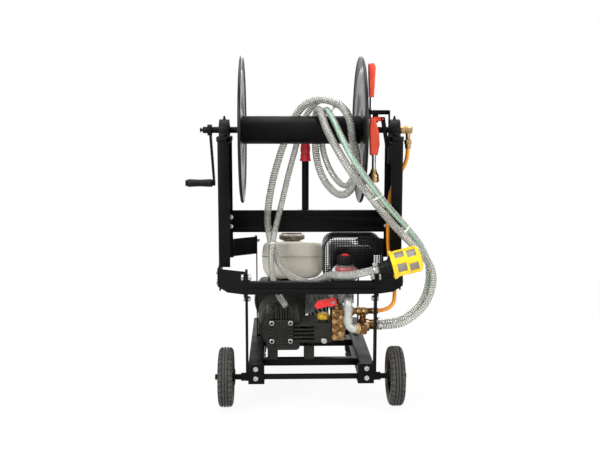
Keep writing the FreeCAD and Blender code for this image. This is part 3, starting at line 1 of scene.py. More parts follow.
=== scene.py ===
import json
import math
import bmesh
import bpy
from mathutils import Matrix, Vector
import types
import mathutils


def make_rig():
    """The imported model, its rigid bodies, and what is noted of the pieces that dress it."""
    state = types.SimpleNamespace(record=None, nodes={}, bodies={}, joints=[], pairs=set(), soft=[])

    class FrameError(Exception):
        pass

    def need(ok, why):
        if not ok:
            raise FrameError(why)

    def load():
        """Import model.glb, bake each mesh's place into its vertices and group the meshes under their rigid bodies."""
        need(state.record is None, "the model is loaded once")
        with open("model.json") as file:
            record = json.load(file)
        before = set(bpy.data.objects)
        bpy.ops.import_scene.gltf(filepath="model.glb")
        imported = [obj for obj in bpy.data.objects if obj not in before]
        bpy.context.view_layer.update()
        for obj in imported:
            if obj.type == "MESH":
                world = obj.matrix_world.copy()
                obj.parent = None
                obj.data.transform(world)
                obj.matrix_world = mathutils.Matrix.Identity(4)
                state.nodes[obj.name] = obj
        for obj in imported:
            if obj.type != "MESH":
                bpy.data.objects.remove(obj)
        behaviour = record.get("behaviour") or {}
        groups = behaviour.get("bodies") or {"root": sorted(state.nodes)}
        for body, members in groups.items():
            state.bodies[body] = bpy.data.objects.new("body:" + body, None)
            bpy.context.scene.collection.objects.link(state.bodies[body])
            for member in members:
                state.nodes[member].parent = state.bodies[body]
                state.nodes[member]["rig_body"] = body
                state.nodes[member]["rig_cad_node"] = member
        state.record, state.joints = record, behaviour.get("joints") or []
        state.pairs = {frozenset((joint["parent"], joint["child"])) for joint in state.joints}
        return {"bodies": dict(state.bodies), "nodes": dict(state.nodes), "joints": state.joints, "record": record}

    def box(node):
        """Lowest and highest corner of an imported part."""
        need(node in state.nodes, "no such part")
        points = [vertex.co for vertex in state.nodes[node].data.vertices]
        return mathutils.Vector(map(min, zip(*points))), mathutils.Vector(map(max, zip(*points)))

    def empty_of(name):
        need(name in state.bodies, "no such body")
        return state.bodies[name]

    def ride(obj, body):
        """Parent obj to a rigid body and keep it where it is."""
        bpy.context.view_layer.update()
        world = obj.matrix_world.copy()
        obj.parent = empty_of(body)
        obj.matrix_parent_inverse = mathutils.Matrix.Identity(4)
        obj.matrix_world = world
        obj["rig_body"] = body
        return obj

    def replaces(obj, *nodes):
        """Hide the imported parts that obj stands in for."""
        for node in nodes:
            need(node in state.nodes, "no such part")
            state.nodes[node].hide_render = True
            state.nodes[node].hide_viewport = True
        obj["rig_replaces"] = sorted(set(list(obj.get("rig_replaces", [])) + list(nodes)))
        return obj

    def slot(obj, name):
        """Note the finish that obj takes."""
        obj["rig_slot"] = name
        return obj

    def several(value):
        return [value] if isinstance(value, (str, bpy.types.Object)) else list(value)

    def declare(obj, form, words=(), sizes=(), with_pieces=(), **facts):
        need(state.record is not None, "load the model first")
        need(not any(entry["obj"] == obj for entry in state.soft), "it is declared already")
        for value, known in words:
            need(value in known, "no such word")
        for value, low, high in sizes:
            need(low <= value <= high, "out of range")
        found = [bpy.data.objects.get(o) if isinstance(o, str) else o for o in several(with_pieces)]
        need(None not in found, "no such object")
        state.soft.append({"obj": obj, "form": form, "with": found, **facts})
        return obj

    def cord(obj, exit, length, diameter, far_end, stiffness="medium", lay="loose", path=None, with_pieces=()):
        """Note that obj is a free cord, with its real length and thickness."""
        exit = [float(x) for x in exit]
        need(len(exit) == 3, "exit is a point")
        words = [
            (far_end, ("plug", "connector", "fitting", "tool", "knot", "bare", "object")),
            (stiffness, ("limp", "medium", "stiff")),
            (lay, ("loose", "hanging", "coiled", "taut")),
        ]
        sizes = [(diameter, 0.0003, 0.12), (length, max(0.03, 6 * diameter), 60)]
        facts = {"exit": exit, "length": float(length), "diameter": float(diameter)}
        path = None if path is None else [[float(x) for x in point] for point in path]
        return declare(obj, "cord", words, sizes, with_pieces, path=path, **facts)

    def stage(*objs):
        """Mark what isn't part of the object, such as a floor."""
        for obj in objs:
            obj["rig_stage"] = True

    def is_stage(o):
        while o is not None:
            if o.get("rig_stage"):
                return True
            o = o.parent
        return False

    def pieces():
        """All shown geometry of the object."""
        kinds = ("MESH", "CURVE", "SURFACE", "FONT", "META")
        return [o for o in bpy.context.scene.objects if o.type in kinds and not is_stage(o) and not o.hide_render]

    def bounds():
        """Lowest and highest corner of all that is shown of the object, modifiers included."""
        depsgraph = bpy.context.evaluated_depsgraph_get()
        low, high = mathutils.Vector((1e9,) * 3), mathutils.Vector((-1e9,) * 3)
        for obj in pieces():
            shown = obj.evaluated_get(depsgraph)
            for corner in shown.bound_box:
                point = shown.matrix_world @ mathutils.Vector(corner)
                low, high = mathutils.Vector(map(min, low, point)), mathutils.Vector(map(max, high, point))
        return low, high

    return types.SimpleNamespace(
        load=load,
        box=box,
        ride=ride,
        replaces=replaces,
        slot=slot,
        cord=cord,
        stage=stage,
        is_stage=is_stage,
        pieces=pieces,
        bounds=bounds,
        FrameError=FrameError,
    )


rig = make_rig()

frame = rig.load()
cadBounds = [list(corner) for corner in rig.bounds()]
mm = 0.001
cartShift = Vector((0.0364, -0.195, 0))   # from the cart's own centre plane and axle to the frame
nodes = frame["nodes"]
carrier = {name: "cart" for name in nodes}   # the body each solid rides on
for bodyName, names in frame["record"]["behaviour"]["bodies"].items():
    for name in names:
        carrier[name] = bodyName
print("frame loaded:", len(nodes), "nodes")


def place(x, y, z):
    return Vector((x * mm, y * mm, z * mm)) + cartShift


def inCart(point):
    # the other way round: a point of the scene in the cart's own millimetres
    return (point - cartShift) / mm


def addObject(name, data):
    holder = bpy.data.objects.new(name, data)
    bpy.context.scene.collection.objects.link(holder)
    return holder


# camera at the photograph's viewing angle
cameraSettings = {
    "position": (-81, -2112, 787),
    "pitchDown": 7.97,
    "yawRight": 1.40,
    "lens": 48.66,
    "sensor": 36,
}
cameraData = bpy.data.cameras.new("photoCamera")
cameraData.lens = cameraSettings["lens"]
cameraData.sensor_width = cameraSettings["sensor"]
camera = addObject("photoCamera", cameraData)
camera.location = place(*cameraSettings["position"])
camera.rotation_euler = (math.radians(90 - cameraSettings["pitchDown"]), 0,
                         -math.radians(cameraSettings["yawRight"]))
bpy.context.scene.camera = camera


# ways of working that every piece shares
def clearSelection():
    if bpy.context.mode != "OBJECT":
        bpy.ops.object.mode_set(mode="OBJECT")
    bpy.ops.object.select_all(action="DESELECT")


def makeActive(piece):
    clearSelection()
    piece.select_set(True)
    bpy.context.view_layer.objects.active = piece


def editAll(piece):
    makeActive(piece)
    bpy.ops.object.mode_set(mode="EDIT")
    bpy.ops.mesh.select_mode(type="VERT")
    bpy.ops.mesh.select_all(action="SELECT")


def backToObject():
    bpy.ops.object.mode_set(mode="OBJECT")


def selectFaces(piece, wanted):
    # faces are picked by their middle, in cart millimetres
    makeActive(piece)
    bpy.ops.object.mode_set(mode="EDIT")
    bpy.ops.mesh.select_mode(type="FACE")
    bpy.ops.mesh.select_all(action="DESELECT")
    bpy.ops.object.mode_set(mode="OBJECT")
    for polygon in piece.data.polygons:
        polygon.select = wanted(inCart(polygon.center))
    bpy.ops.object.mode_set(mode="EDIT")


def applyPlace(piece):
    makeActive(piece)
    bpy.ops.object.transform_apply(location=True, rotation=True, scale=True)


def turnTo(way):
    return Vector((0, 0, 1)).rotation_difference(Vector(way)).to_euler()


def addModifier(piece, kind, **settings):
    makeActive(piece)
    modifier = piece.modifiers.new(kind.lower(), kind)
    for name, value in settings.items():
        setattr(modifier, name, value)
    bpy.ops.object.modifier_apply(modifier=modifier.name)
    return piece


def joinPieces(name, pieces):
    clearSelection()
    for piece in pieces:
        piece.select_set(True)
    bpy.context.view_layer.objects.active = pieces[0]
    bpy.ops.object.join()
    pieces[0].name = name
    return pieces[0]


def pull(x, y, z):
    # what is selected is drawn out this far in metres, with new faces or edges behind it
    bpy.ops.mesh.extrude_region_move(TRANSFORM_OT_translate={"value": (x, y, z)})


def lathe(name, rings, start, way=(0, 0, 1), sides=48, capped=True):
    # rings are (distance along the axis, radius) in millimetres; each is pulled out of the one before
    clearSelection()
    first = rings[0]
    bpy.ops.mesh.primitive_circle_add(vertices=sides, radius=first[1] * mm, location=(0, 0, first[0] * mm))
    piece = bpy.context.active_object
    applyPlace(piece)
    editAll(piece)
    if capped:
        bpy.ops.mesh.edge_face_add()
    lastAlong, lastRadius = first
    for along, radius in rings[1:]:
        pull(0, 0, (along - lastAlong) * mm)
        size = radius / lastRadius
        if abs(size - 1) > 1e-6:
            bpy.ops.transform.resize(value=(size, size, 1), center_override=(0, 0, along * mm))
        lastAlong, lastRadius = along, radius
    bpy.ops.mesh.select_all(action="SELECT")
    bpy.ops.mesh.remove_doubles(threshold=1e-6)
    bpy.ops.mesh.normals_make_consistent(inside=False)
    backToObject()
    piece.rotation_euler = turnTo(way)
    piece.location = place(*start)
    applyPlace(piece)
    piece.name = name
    return piece


def block(name, low, high, bevel=1.5, segments=3):
    # a block between two corners in cart millimetres, with every edge rounded
    clearSelection()
    middle = [(a + b) / 2 for a, b in zip(low, high)]
    bpy.ops.mesh.primitive_cube_add(size=1, location=place(*middle))
    piece = bpy.context.active_object
    piece.scale = [(b - a) * mm for a, b in zip(low, high)]
    applyPlace(piece)
    if bevel:
        editAll(piece)
        bpy.ops.mesh.bevel(offset=bevel * mm, segments=segments, profile=0.5, affect="EDGES")
        backToObject()
    piece.name = name
    return piece


def hexNut(name, start, way, acrossFlats, height):
    # six flats, with the corners turned off over an eighth of the height at both ends
    full, turned = acrossFlats * 0.577, acrossFlats * 0.54   # radius to the corners, and at the turned ends
    rings = [(0, turned), (height * 0.12, full), (height * 0.88, full), (height, turned)]
    piece = lathe(name, rings, start, way, sides=6)
    return addModifier(piece, "BEVEL", width=0.35 * mm, segments=2, limit_method="ANGLE",
                       angle_limit=math.radians(25))


def stacked(name, low, high, corner, layers, segments=8):
    # a rounded rectangle pulled up through its layers: (height, how far its edge stands out)
    clearSelection()
    first = layers[0]
    centre = ((low[0] + high[0]) / 2, (low[1] + high[1]) / 2)
    bpy.ops.mesh.primitive_plane_add(size=1, location=place(*centre, first[0]))
    piece = bpy.context.active_object
    piece.scale = [(b - a + 2 * first[1]) * mm for a, b in zip(low, high)] + [1]
    applyPlace(piece)
    editAll(piece)
    bpy.ops.mesh.bevel(offset=corner * mm, segments=segments, affect="VERTICES")
    bpy.ops.mesh.select_all(action="SELECT")
    lastHeight, lastOut = first
    for height, out in layers[1:]:
        pull(0, 0, (height - lastHeight) * mm)
        wide, deep = [(b - a + 2 * out) / (b - a + 2 * lastOut) for a, b in zip(low, high)]
        bpy.ops.transform.resize(value=(wide, deep, 1), center_override=place(*centre, height))
        lastHeight, lastOut = height, out
    bpy.ops.mesh.select_all(action="SELECT")
    bpy.ops.mesh.normals_make_consistent(inside=False)
    backToObject()
    piece.name = name
    return piece


def softened(name, node, width, segments=2, keep=None):
    # a merged copy of a solid with its edges broken, as dressed metal and moulded plastic have them
    piece = addObject(name, nodes[node].data.copy())
    makeActive(piece)
    bpy.ops.mesh.customdata_custom_splitnormals_clear()
    editAll(piece)
    bpy.ops.mesh.remove_doubles(threshold=0.01 * mm)
    bpy.ops.mesh.dissolve_limited(angle_limit=math.radians(0.5))
    backToObject()
    if keep:
        selectFaces(piece, lambda c: not keep(*c))
        bpy.ops.mesh.delete(type="FACE")
        backToObject()
    return addModifier(piece, "BEVEL", width=width * mm, segments=segments, limit_method="ANGLE",
                       angle_limit=math.radians(30))


def settle(piece, finishName, node=None, body=None, angle=35):
    # the last step of every new piece: finish, the node it stands for, the body it rides on, and its slot
    if angle:
        makeActive(piece)
        bpy.ops.object.shade_smooth_by_angle(angle=math.radians(angle))
    piece.data.materials.clear()
    piece.data.materials.append(finish[finishName])
    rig.ride(piece, body or carrier.get(node, "cart"))
    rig.slot(piece, recipes[finishName]["slot"])
    if node:
        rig.replaces(piece, node)
    return piece


# materials
def linearColour(hexValue):
    channels = [int(hexValue[k:k + 2], 16) / 255 for k in (1, 3, 5)]
    return [c / 12.92 if c <= 0.04045 else ((c + 0.055) / 1.055) ** 2.4 for c in channels] + [1.0]


def addNode(tree, kind, settings=None, links=None, **attributes):
    node = tree.nodes.new("ShaderNode" + kind)
    for name, value in attributes.items():
        setattr(node, name, value)
    for name, value in (settings or {}).items():
        node.inputs[name].default_value = value
    for name, source in (links or {}).items():
        tree.links.new(source, node.inputs[name])
    return node


def startMaterial(name, **settings):
    material = bpy.data.materials.new(name)
    material.use_nodes = True
    tree = material.node_tree
    shader = tree.nodes["Principled BSDF"]
    for key, value in settings.items():
        shader.inputs[key.replace("_", " ")].default_value = value
    return material, tree, shader


def surfaceMaterial(name, recipe):
    # colour that wanders between two tones, roughness that wanders with it, and the relief of the grain
    material, tree, shader = startMaterial(name)
    shader.inputs["Metallic"].default_value = recipe.get("metallic", 0.0)
    shader.inputs["IOR"].default_value = recipe.get("ior", 1.5)
    shader.inputs["Specular IOR Level"].default_value = recipe.get("specular", 0.5)
    shader.inputs["Coat Weight"].default_value = recipe.get("coat", 0.0)
    shader.inputs["Coat Roughness"].default_value = recipe.get("coatRoughness", 0.05)
    (fresh, worn), (smooth, dull) = recipe["tones"], recipe["rough"]
    size, strength, height = recipe["grain"]
    where = addNode(tree, "TexCoord").outputs["Object"]
    patches = addNode(tree, "TexNoise", {"Scale": 1 / (recipe["patchSize"] * mm), "Detail": 4.0},
                      {"Vector": where})
    grain = addNode(tree, "TexNoise", {"Scale": 1 / (size * mm), "Detail": 2.0}, {"Vector": where})
    wander = addNode(tree, "MapRange", {"From Min": 0.35, "From Max": 0.65},
                     {"Value": patches.outputs["Fac"]})
    colour = addNode(tree, "Mix", {"A": linearColour(fresh), "B": linearColour(worn)},
                     {"Factor": wander.outputs["Result"]}, data_type="RGBA")
    rough = addNode(tree, "MapRange", {"To Min": smooth, "To Max": dull},
                    {"Value": wander.outputs["Result"]})
    relief = addNode(tree, "Bump", {"Strength": strength, "Distance": height * mm},
                     {"Height": grain.outputs["Fac"]})
    tree.links.new(colour.outputs["Result"], shader.inputs["Base Color"])
    tree.links.new(rough.outputs["Result"], shader.inputs["Roughness"])
    tree.links.new(relief.outputs["Normal"], shader.inputs["Normal"])
    return material


recipes = {
    # tones from fresh to worn, roughness where each shows, and grain as size in mm, strength and height in mm
    # textured powder coat over steel tube and plate: deep black, satin, with a faint orange peel
    "blackPowderCoat": {"slot": "black_paint", "tones": ("#060606", "#0c0c0d"), "rough": (0.42, 0.55),
                        "patchSize": 60, "grain": (1.6, 0.3, 0.12), "ior": 1.3, "specular": 0.24},
    # stove enamel on the pressed flanges, the guard and the recoil cover: glossier, so it mirrors the room
    "blackEnamel": {"slot": "black_paint", "tones": ("#050505", "#0a0a0b"), "rough": (0.24, 0.34),
                    "patchSize": 80, "grain": (14.0, 0.3, 0.5), "ior": 1.34},
    # bright zinc plate on bolts and nuts: pale steel with slightly cloudy lustre
    "brightZinc": {"slot": "zinc", "tones": ("#c9cac8", "#9b9d9c"), "rough": (0.22, 0.42), "patchSize": 6,
                   "grain": (0.6, 0.3, 0.05), "metallic": 1.0},
    # hot-dip galvanised pipe: dull, grey-white and spangled
    "galvanisedPipe": {"slot": "zinc", "tones": ("#c3c5c0", "#b0b3ad"), "rough": (0.34, 0.5), "patchSize": 14,
                       "grain": (1.2, 0.2, 0.08), "metallic": 0.55},
    # vulcanised rubber of the tyres: grey-black, dusted, with a soft bloom
    "tyreRubber": {"slot": "tyre_rubber", "tones": ("#302e2b", "#47433e"), "rough": (0.62, 0.85),
                   "patchSize": 9, "grain": (0.9, 0.5, 0.25)},
    # moulded rubber of the feet: dull black
    "footRubber": {"slot": "rubber", "tones": ("#101010", "#1c1c1b"), "rough": (0.6, 0.75), "patchSize": 12,
                   "grain": (1.0, 0.4, 0.2)},
    # die-cast aluminium under dark olive-grey paint on pump and crankcase: the skin of the casting shows
    "paintedCasting": {"slot": "dark_casting", "tones": ("#1a1a17", "#272621"), "rough": (0.42, 0.6),
                       "patchSize": 18, "grain": (1.1, 0.6, 0.3), "ior": 1.38, "specular": 0.3},
    # sand-cast iron under black paint: bearing housings, muffler, and the black bolts and washers
    "blackCastIron": {"slot": "black_paint", "tones": ("#080808", "#151514"), "rough": (0.42, 0.62),
                      "patchSize": 14, "grain": (1.3, 0.7, 0.4), "ior": 1.34, "specular": 0.3},
    # bare die-cast aluminium of the cylinder, the intake and the regulator: grey, slightly mottled
    "castAluminium": {"slot": "aluminium", "tones": ("#9c9d9b", "#63645f"), "rough": (0.4, 0.58),
                      "patchSize": 10, "grain": (0.9, 0.5, 0.25), "metallic": 1.0},
    # forged brass, tarnished brown in the hollows: valve block
    "forgedBrass": {"slot": "brass", "tones": ("#9a754d", "#6a4d31"), "rough": (0.22, 0.42), "patchSize": 16,
                    "grain": (1.1, 0.15, 0.08), "metallic": 1.0},
    # turned brass of the swivel, nozzle and plugs: paler and cleaner, with fine tool marks
    "turnedBrass": {"slot": "brass", "tones": ("#c4a679", "#967649"), "rough": (0.24, 0.4), "patchSize": 9,
                    "grain": (0.5, 0.2, 0.05), "metallic": 1.0},
    # chrome plate over steel: the gun's lance, smooth and bright
    "chromePlate": {"slot": "chrome", "tones": ("#d8dadb", "#b9bcbd"), "rough": (0.08, 0.18), "patchSize": 16,
                    "grain": (2.0, 0.08, 0.05), "metallic": 1.0},
    # baked beige enamel on the pressed steel tank: even colour under a thin clear gloss
    "beigeEnamel": {"slot": "beige_paint", "tones": ("#dad5c7", "#cfcabb"), "rough": (0.24, 0.34),
                    "patchSize": 60, "grain": (2.5, 0.12, 0.08), "coat": 0.25, "coatRoughness": 0.12},
    # the filler cap: the same beige gone brown
    "brownEnamel": {"slot": "beige_paint", "tones": ("#a39682", "#6d5c46"), "rough": (0.3, 0.45),
                    "patchSize": 9, "grain": (1.5, 0.2, 0.1)},
    # moulded glass-filled nylon of the spray gun: warm orange-red, with a fine grain
    "gunPlastic": {"slot": "red_plastic", "tones": ("#ff5a39", "#f64c2e"), "rough": (0.3, 0.44),
                   "patchSize": 26, "grain": (1.0, 0.25, 0.08)},
    # soft vinyl of the handle grip: crimson and dull
    "gripVinyl": {"slot": "red_plastic", "tones": ("#de2f3e", "#cb2735"), "rough": (0.4, 0.55),
                  "patchSize": 20, "grain": (1.0, 0.3, 0.1)},
    # dipped red PVC of the bypass lever, and of the regulator's ring and cap: smooth and a little soft
    "leverRed": {"slot": "red_plastic", "tones": ("#e3191c", "#cc1518"), "rough": (0.26, 0.38),
                 "patchSize": 20, "grain": (1.2, 0.2, 0.08)},
    # moulded yellow polypropylene of the strainer cage: even and a little waxy
    "yellowPlastic": {"slot": "yellow_plastic", "tones": ("#f6d51c", "#ecc410"), "rough": (0.3, 0.42),
                      "patchSize": 22, "grain": (1.0, 0.2, 0.08)},
    # the oil cap's darker, oil-stained yellow
    "amberPlastic": {"slot": "yellow_plastic", "tones": ("#c9a21a", "#84670e"), "rough": (0.3, 0.45),
                     "patchSize": 7, "grain": (1.0, 0.2, 0.08)},
    # moulded black ABS with a fine spark-eroded texture
    "blackPlastic": {"slot": "black_plastic", "tones": ("#0b0b0b", "#131313"), "rough": (0.42, 0.58),
                     "patchSize": 20, "grain": (0.7, 0.4, 0.12), "ior": 1.36, "specular": 0.3},
    # plasticised PVC of the pressure hose: orange, with a soft shine
    "orangePvc": {"slot": "orange_hose", "tones": ("#f79c12", "#ec8d08"), "rough": (0.24, 0.36),
                  "patchSize": 14, "grain": (1.2, 0.15, 0.06), "coat": 0.2},
    # natural nylon of the cable ties: off-white and waxy
    "naturalNylon": {"slot": "clear_hose", "tones": ("#e6e4dc", "#d6d3c8"), "rough": (0.3, 0.42),
                     "patchSize": 8, "grain": (0.6, 0.2, 0.05)},
}
finish = {name: surfaceMaterial(name, recipe) for name, recipe in recipes.items()}


def wovenMaterial(name, thread):
    # plain-woven stainless filter cloth, light over dark; drawn coarser than it is, so that it shows
    material, tree, shader = startMaterial(name, Metallic=0.55, Roughness=0.5)
    where = addNode(tree, "TexCoord").outputs["Object"]
    weave = addNode(tree, "TexChecker", {"Scale": 1 / (thread * mm), "Color1": linearColour("#a7a39b"),
                                         "Color2": linearColour("#75716a")}, {"Vector": where})
    relief = addNode(tree, "Bump", {"Strength": 0.6, "Distance": 0.3 * mm}, {"Height": weave.outputs["Fac"]})
    tree.links.new(weave.outputs["Color"], shader.inputs["Base Color"])
    tree.links.new(relief.outputs["Normal"], shader.inputs["Normal"])
    return material


def clearMaterial(name, tint, rough, cloudSize):
    # clear moulded acrylic: nearly colourless, with a slightly cloudy skin
    material, tree, shader = startMaterial(name, IOR=1.45, Transmission_Weight=0.92)
    where = addNode(tree, "TexCoord").outputs["Object"]
    cloud = addNode(tree, "TexNoise", {"Scale": 1 / (cloudSize * mm), "Detail": 2.0}, {"Vector": where})
    skin = addNode(tree, "MapRange", {"To Min": rough * 0.6, "To Max": rough * 1.4},
                   {"Value": cloud.outputs["Fac"]})
    shader.inputs["Base Color"].default_value = linearColour(tint)
    tree.links.new(skin.outputs["Result"], shader.inputs["Roughness"])
    return material


finish["wovenSteel"] = wovenMaterial("wovenSteel", 1.2)
recipes["wovenSteel"] = {"slot": "steel_mesh"}
finish["clearAcrylic"] = clearMaterial("clearAcrylic", "#eef2f2", 0.06, 50 / 3)
recipes["clearAcrylic"] = {"slot": "clear_hose"}


def hoseMaterial(name, pitch, stripe):
    # clear PVC with a rigid spiral moulded in: the rib is grey and dense, the pale web lets light through
    material, tree, shader = startMaterial(name, IOR=1.38)
    along = addNode(tree, "UVMap", uv_map="hoseMap")
    split = addNode(tree, "SeparateXYZ", links={"Vector": along.outputs["UV"]})
    turns = addNode(tree, "Math", {1: 1 / (pitch * mm)}, {0: split.outputs["X"]}, operation="MULTIPLY")
    spiral = addNode(tree, "Math", links={0: turns.outputs[0], 1: split.outputs["Y"]}, operation="SUBTRACT")
    phase = addNode(tree, "Math", links={0: spiral.outputs[0]}, operation="FRACT")
    away = addNode(tree, "Math", {1: 0.5}, {0: phase.outputs[0]}, operation="PINGPONG")
    web = addNode(tree, "MapRange", {"From Min": 0.09, "From Max": 0.2}, {"Value": away.outputs[0]})
    colour = addNode(tree, "Mix", {"A": linearColour("#84867a"), "B": linearColour("#fafaf6")},
                     {"Factor": web.outputs["Result"]}, data_type="RGBA").outputs["Result"]
    clear = addNode(tree, "MapRange", {"To Min": 0.15, "To Max": 0.86}, {"Value": web.outputs["Result"]})
    if stripe:
        side = addNode(tree, "Math", {1: stripe["at"]}, {0: split.outputs["Y"]}, operation="SUBTRACT")
        off = addNode(tree, "Math", links={0: side.outputs[0]}, operation="ABSOLUTE")
        inside = addNode(tree, "Math", {1: stripe["halfWidth"]}, {0: off.outputs[0]}, operation="LESS_THAN")
        colour = addNode(tree, "Mix", {"B": linearColour("#9ad2b0")},
                         {"Factor": inside.outputs[0], "A": colour}, data_type="RGBA").outputs["Result"]
        dyed = addNode(tree, "Math", {1: 0.5}, {0: inside.outputs[0]}, operation="MULTIPLY")
        clear = addNode(tree, "Math", links={0: clear.outputs["Result"], 1: dyed.outputs[0]},
                        operation="SUBTRACT", use_clamp=True)
    rough = addNode(tree, "MapRange", {"To Min": 0.3, "To Max": 0.1}, {"Value": web.outputs["Result"]})
    tree.links.new(colour, shader.inputs["Base Color"])
    tree.links.new(clear.outputs[0], shader.inputs["Transmission Weight"])
    tree.links.new(rough.outputs["Result"], shader.inputs["Roughness"])
    return material


# hoses
suction = {
    "diameter": 21, "bore": 17, "pitch": 6.6, "ribHeight": 0.6, "sides": 18, "stepsPerRib": 5,
    "points": [
        (176, 24, 213), (212, 24, 213), (250.9, 24, 218.3), (299, 23, 254.4), (322.1, 20, 295.1),
        (330.8, 15, 344.2), (315.4, 10, 391.6), (271.6, 2, 437.7), (224.1, -9, 483.6), (185.7, -26, 528.2),
        (150.2, -36, 572.4), (111.8, -42, 618.2), (80, -34, 666.4), (53.4, -4, 715.1), (39, 46, 748),
        (27, 88, 791), (22, 138, 795), (17, 178, 765), (18, 190, 716), (21.6, 180, 649.8), (39.2, 160, 600.5),
        (65.4, 128, 566.9), (93.4, 94, 559.2), (115.3, 66, 583.7), (124.6, 54, 627.8), (123.7, 49, 676.1),
        (111, 47, 708), (108, 46, 748), (98, 54, 783), (78, 74, 808), (50, 98, 819), (18, 122, 822),
        (-14, 148, 808), (-40, 171, 775), (-64.3, 188, 717), (-84.2, 184, 658.2), (-101.4, 176, 599.5),
        (-112.9, 168, 540.7), (-118.6, 158, 487.9), (-112, 150, 445), (-104, 142, 412), (-92, 128, 381),
        (-75, 110, 350), (-49, 85, 334), (-24, 62, 328), (3, 42, 327), (27, 22, 340), (48, 2, 359),
        (76, -17, 360), (104, -29, 363), (144.4, -38, 373.8), (175, -38, 382)],
}
returnLine = {
    "diameter": 17, "bore": 13, "pitch": 5.6, "ribHeight": 0.3, "sides": 16, "stepsPerRib": 4,
    "points": [
        (176, 47, 217), (211, 47, 217), (251.5, 47, 223.4), (292, 46, 254.3), (314.2, 44, 292.4),
        (321.9, 39, 337.9), (318.4, 33, 385.9), (294.1, 24, 436.7), (249.7, 4, 488.4), (201.7, -22, 539.5),
        (160.4, -58, 590), (123.2, -80, 637.6), (94.2, -76, 682.5), (74.4, -34, 726.2), (69, 32, 748),
        (50, 78, 788), (43, 126, 797), (38, 168, 772), (39, 184, 724), (36.8, 176, 686.6), (52.9, 158, 634.3),
        (77, 136, 596), (98, 110, 583), (114, 86, 599), (120.5, 77, 640), (117, 71, 682), (112, 69, 722),
        (110, 73, 758), (102, 86, 786), (84, 104, 806), (56, 124, 815), (31, 148, 822), (5, 167, 800),
        (-22.2, 178, 750.8), (-36.3, 180, 689.3), (-53.3, 174, 630.6), (-67.6, 164, 572.2),
        (-81.9, 150, 514.3), (-96.1, 134, 460), (-105.9, 118, 411.7), (-107.3, 100, 369.8),
        (-101.7, 76, 332.4), (-92.1, 46, 308.1), (-80, 26, 287.7), (-66.6, 14, 269.8)],
}
pressureLine = {
    "diameter": 11, "bore": 6, "pitch": 6, "ribHeight": 0.0, "sides": 20, "stepsPerRib": 2,
    "points": [
        (271, 125, 698.2), (271, 125, 670), (265, 125, 645), (252, 125, 621), (238, 125, 597),
        (226.5, 125, 571), (221, 125.4, 536), (219.5, 124.7, 486), (220, 123, 440), (220.5, 122, 410),
        (225, 111, 371), (229.5, 87, 330), (233, 60, 296), (226, 36, 267), (196, 24, 254), (168, 24, 254)],
}


def hoseLine(name, points):
    # the hose's own line: one smooth spline with the route's points as its control points
    curve = bpy.data.curves.new(name, "CURVE")
    curve.dimensions = "3D"
    curve.resolution_u = 24
    spline = curve.splines.new("NURBS")
    spline.points.add(len(points) - 1)
    for point, spot in zip(spline.points, points):
        point.co = (*place(*spot), 1)
    spline.order_u = 3
    spline.use_endpoint_u = True
    holder = addObject(name, curve)
    line = bpy.data.meshes.new_from_object(holder)
    spots = [v.co.copy() for v in line.vertices]
    bpy.data.objects.remove(holder)
    bpy.data.meshes.remove(line)
    return spots


def evenSpots(spots, step):
    # the same line with its spots an even step apart
    out = [spots[0]]
    left = step
    for a, b in zip(spots, spots[1:]):
        length = (b - a).length
        done = 0.0
        while length - done >= left:
            done += left
            out.append(a.lerp(b, done / length))
            left = step
        left -= length - done
    if (out[-1] - spots[-1]).length > step * 0.4:
        out.append(spots[-1])
    else:
        out[-1] = spots[-1]
    return out


def hoseFrames(spots):
    # a direction and a side at each spot; the side is carried along without twisting
    frames = []
    side = None
    for k, spot in enumerate(spots):
        way = (spots[min(k + 1, len(spots) - 1)] - spots[max(k - 1, 0)]).normalized()
        if side is None:
            side = way.cross(Vector((0, 1, 0))).normalized()
        side = (side - way * side.dot(way)).normalized()
        frames.append((spot, way, side, way.cross(side)))
    return frames


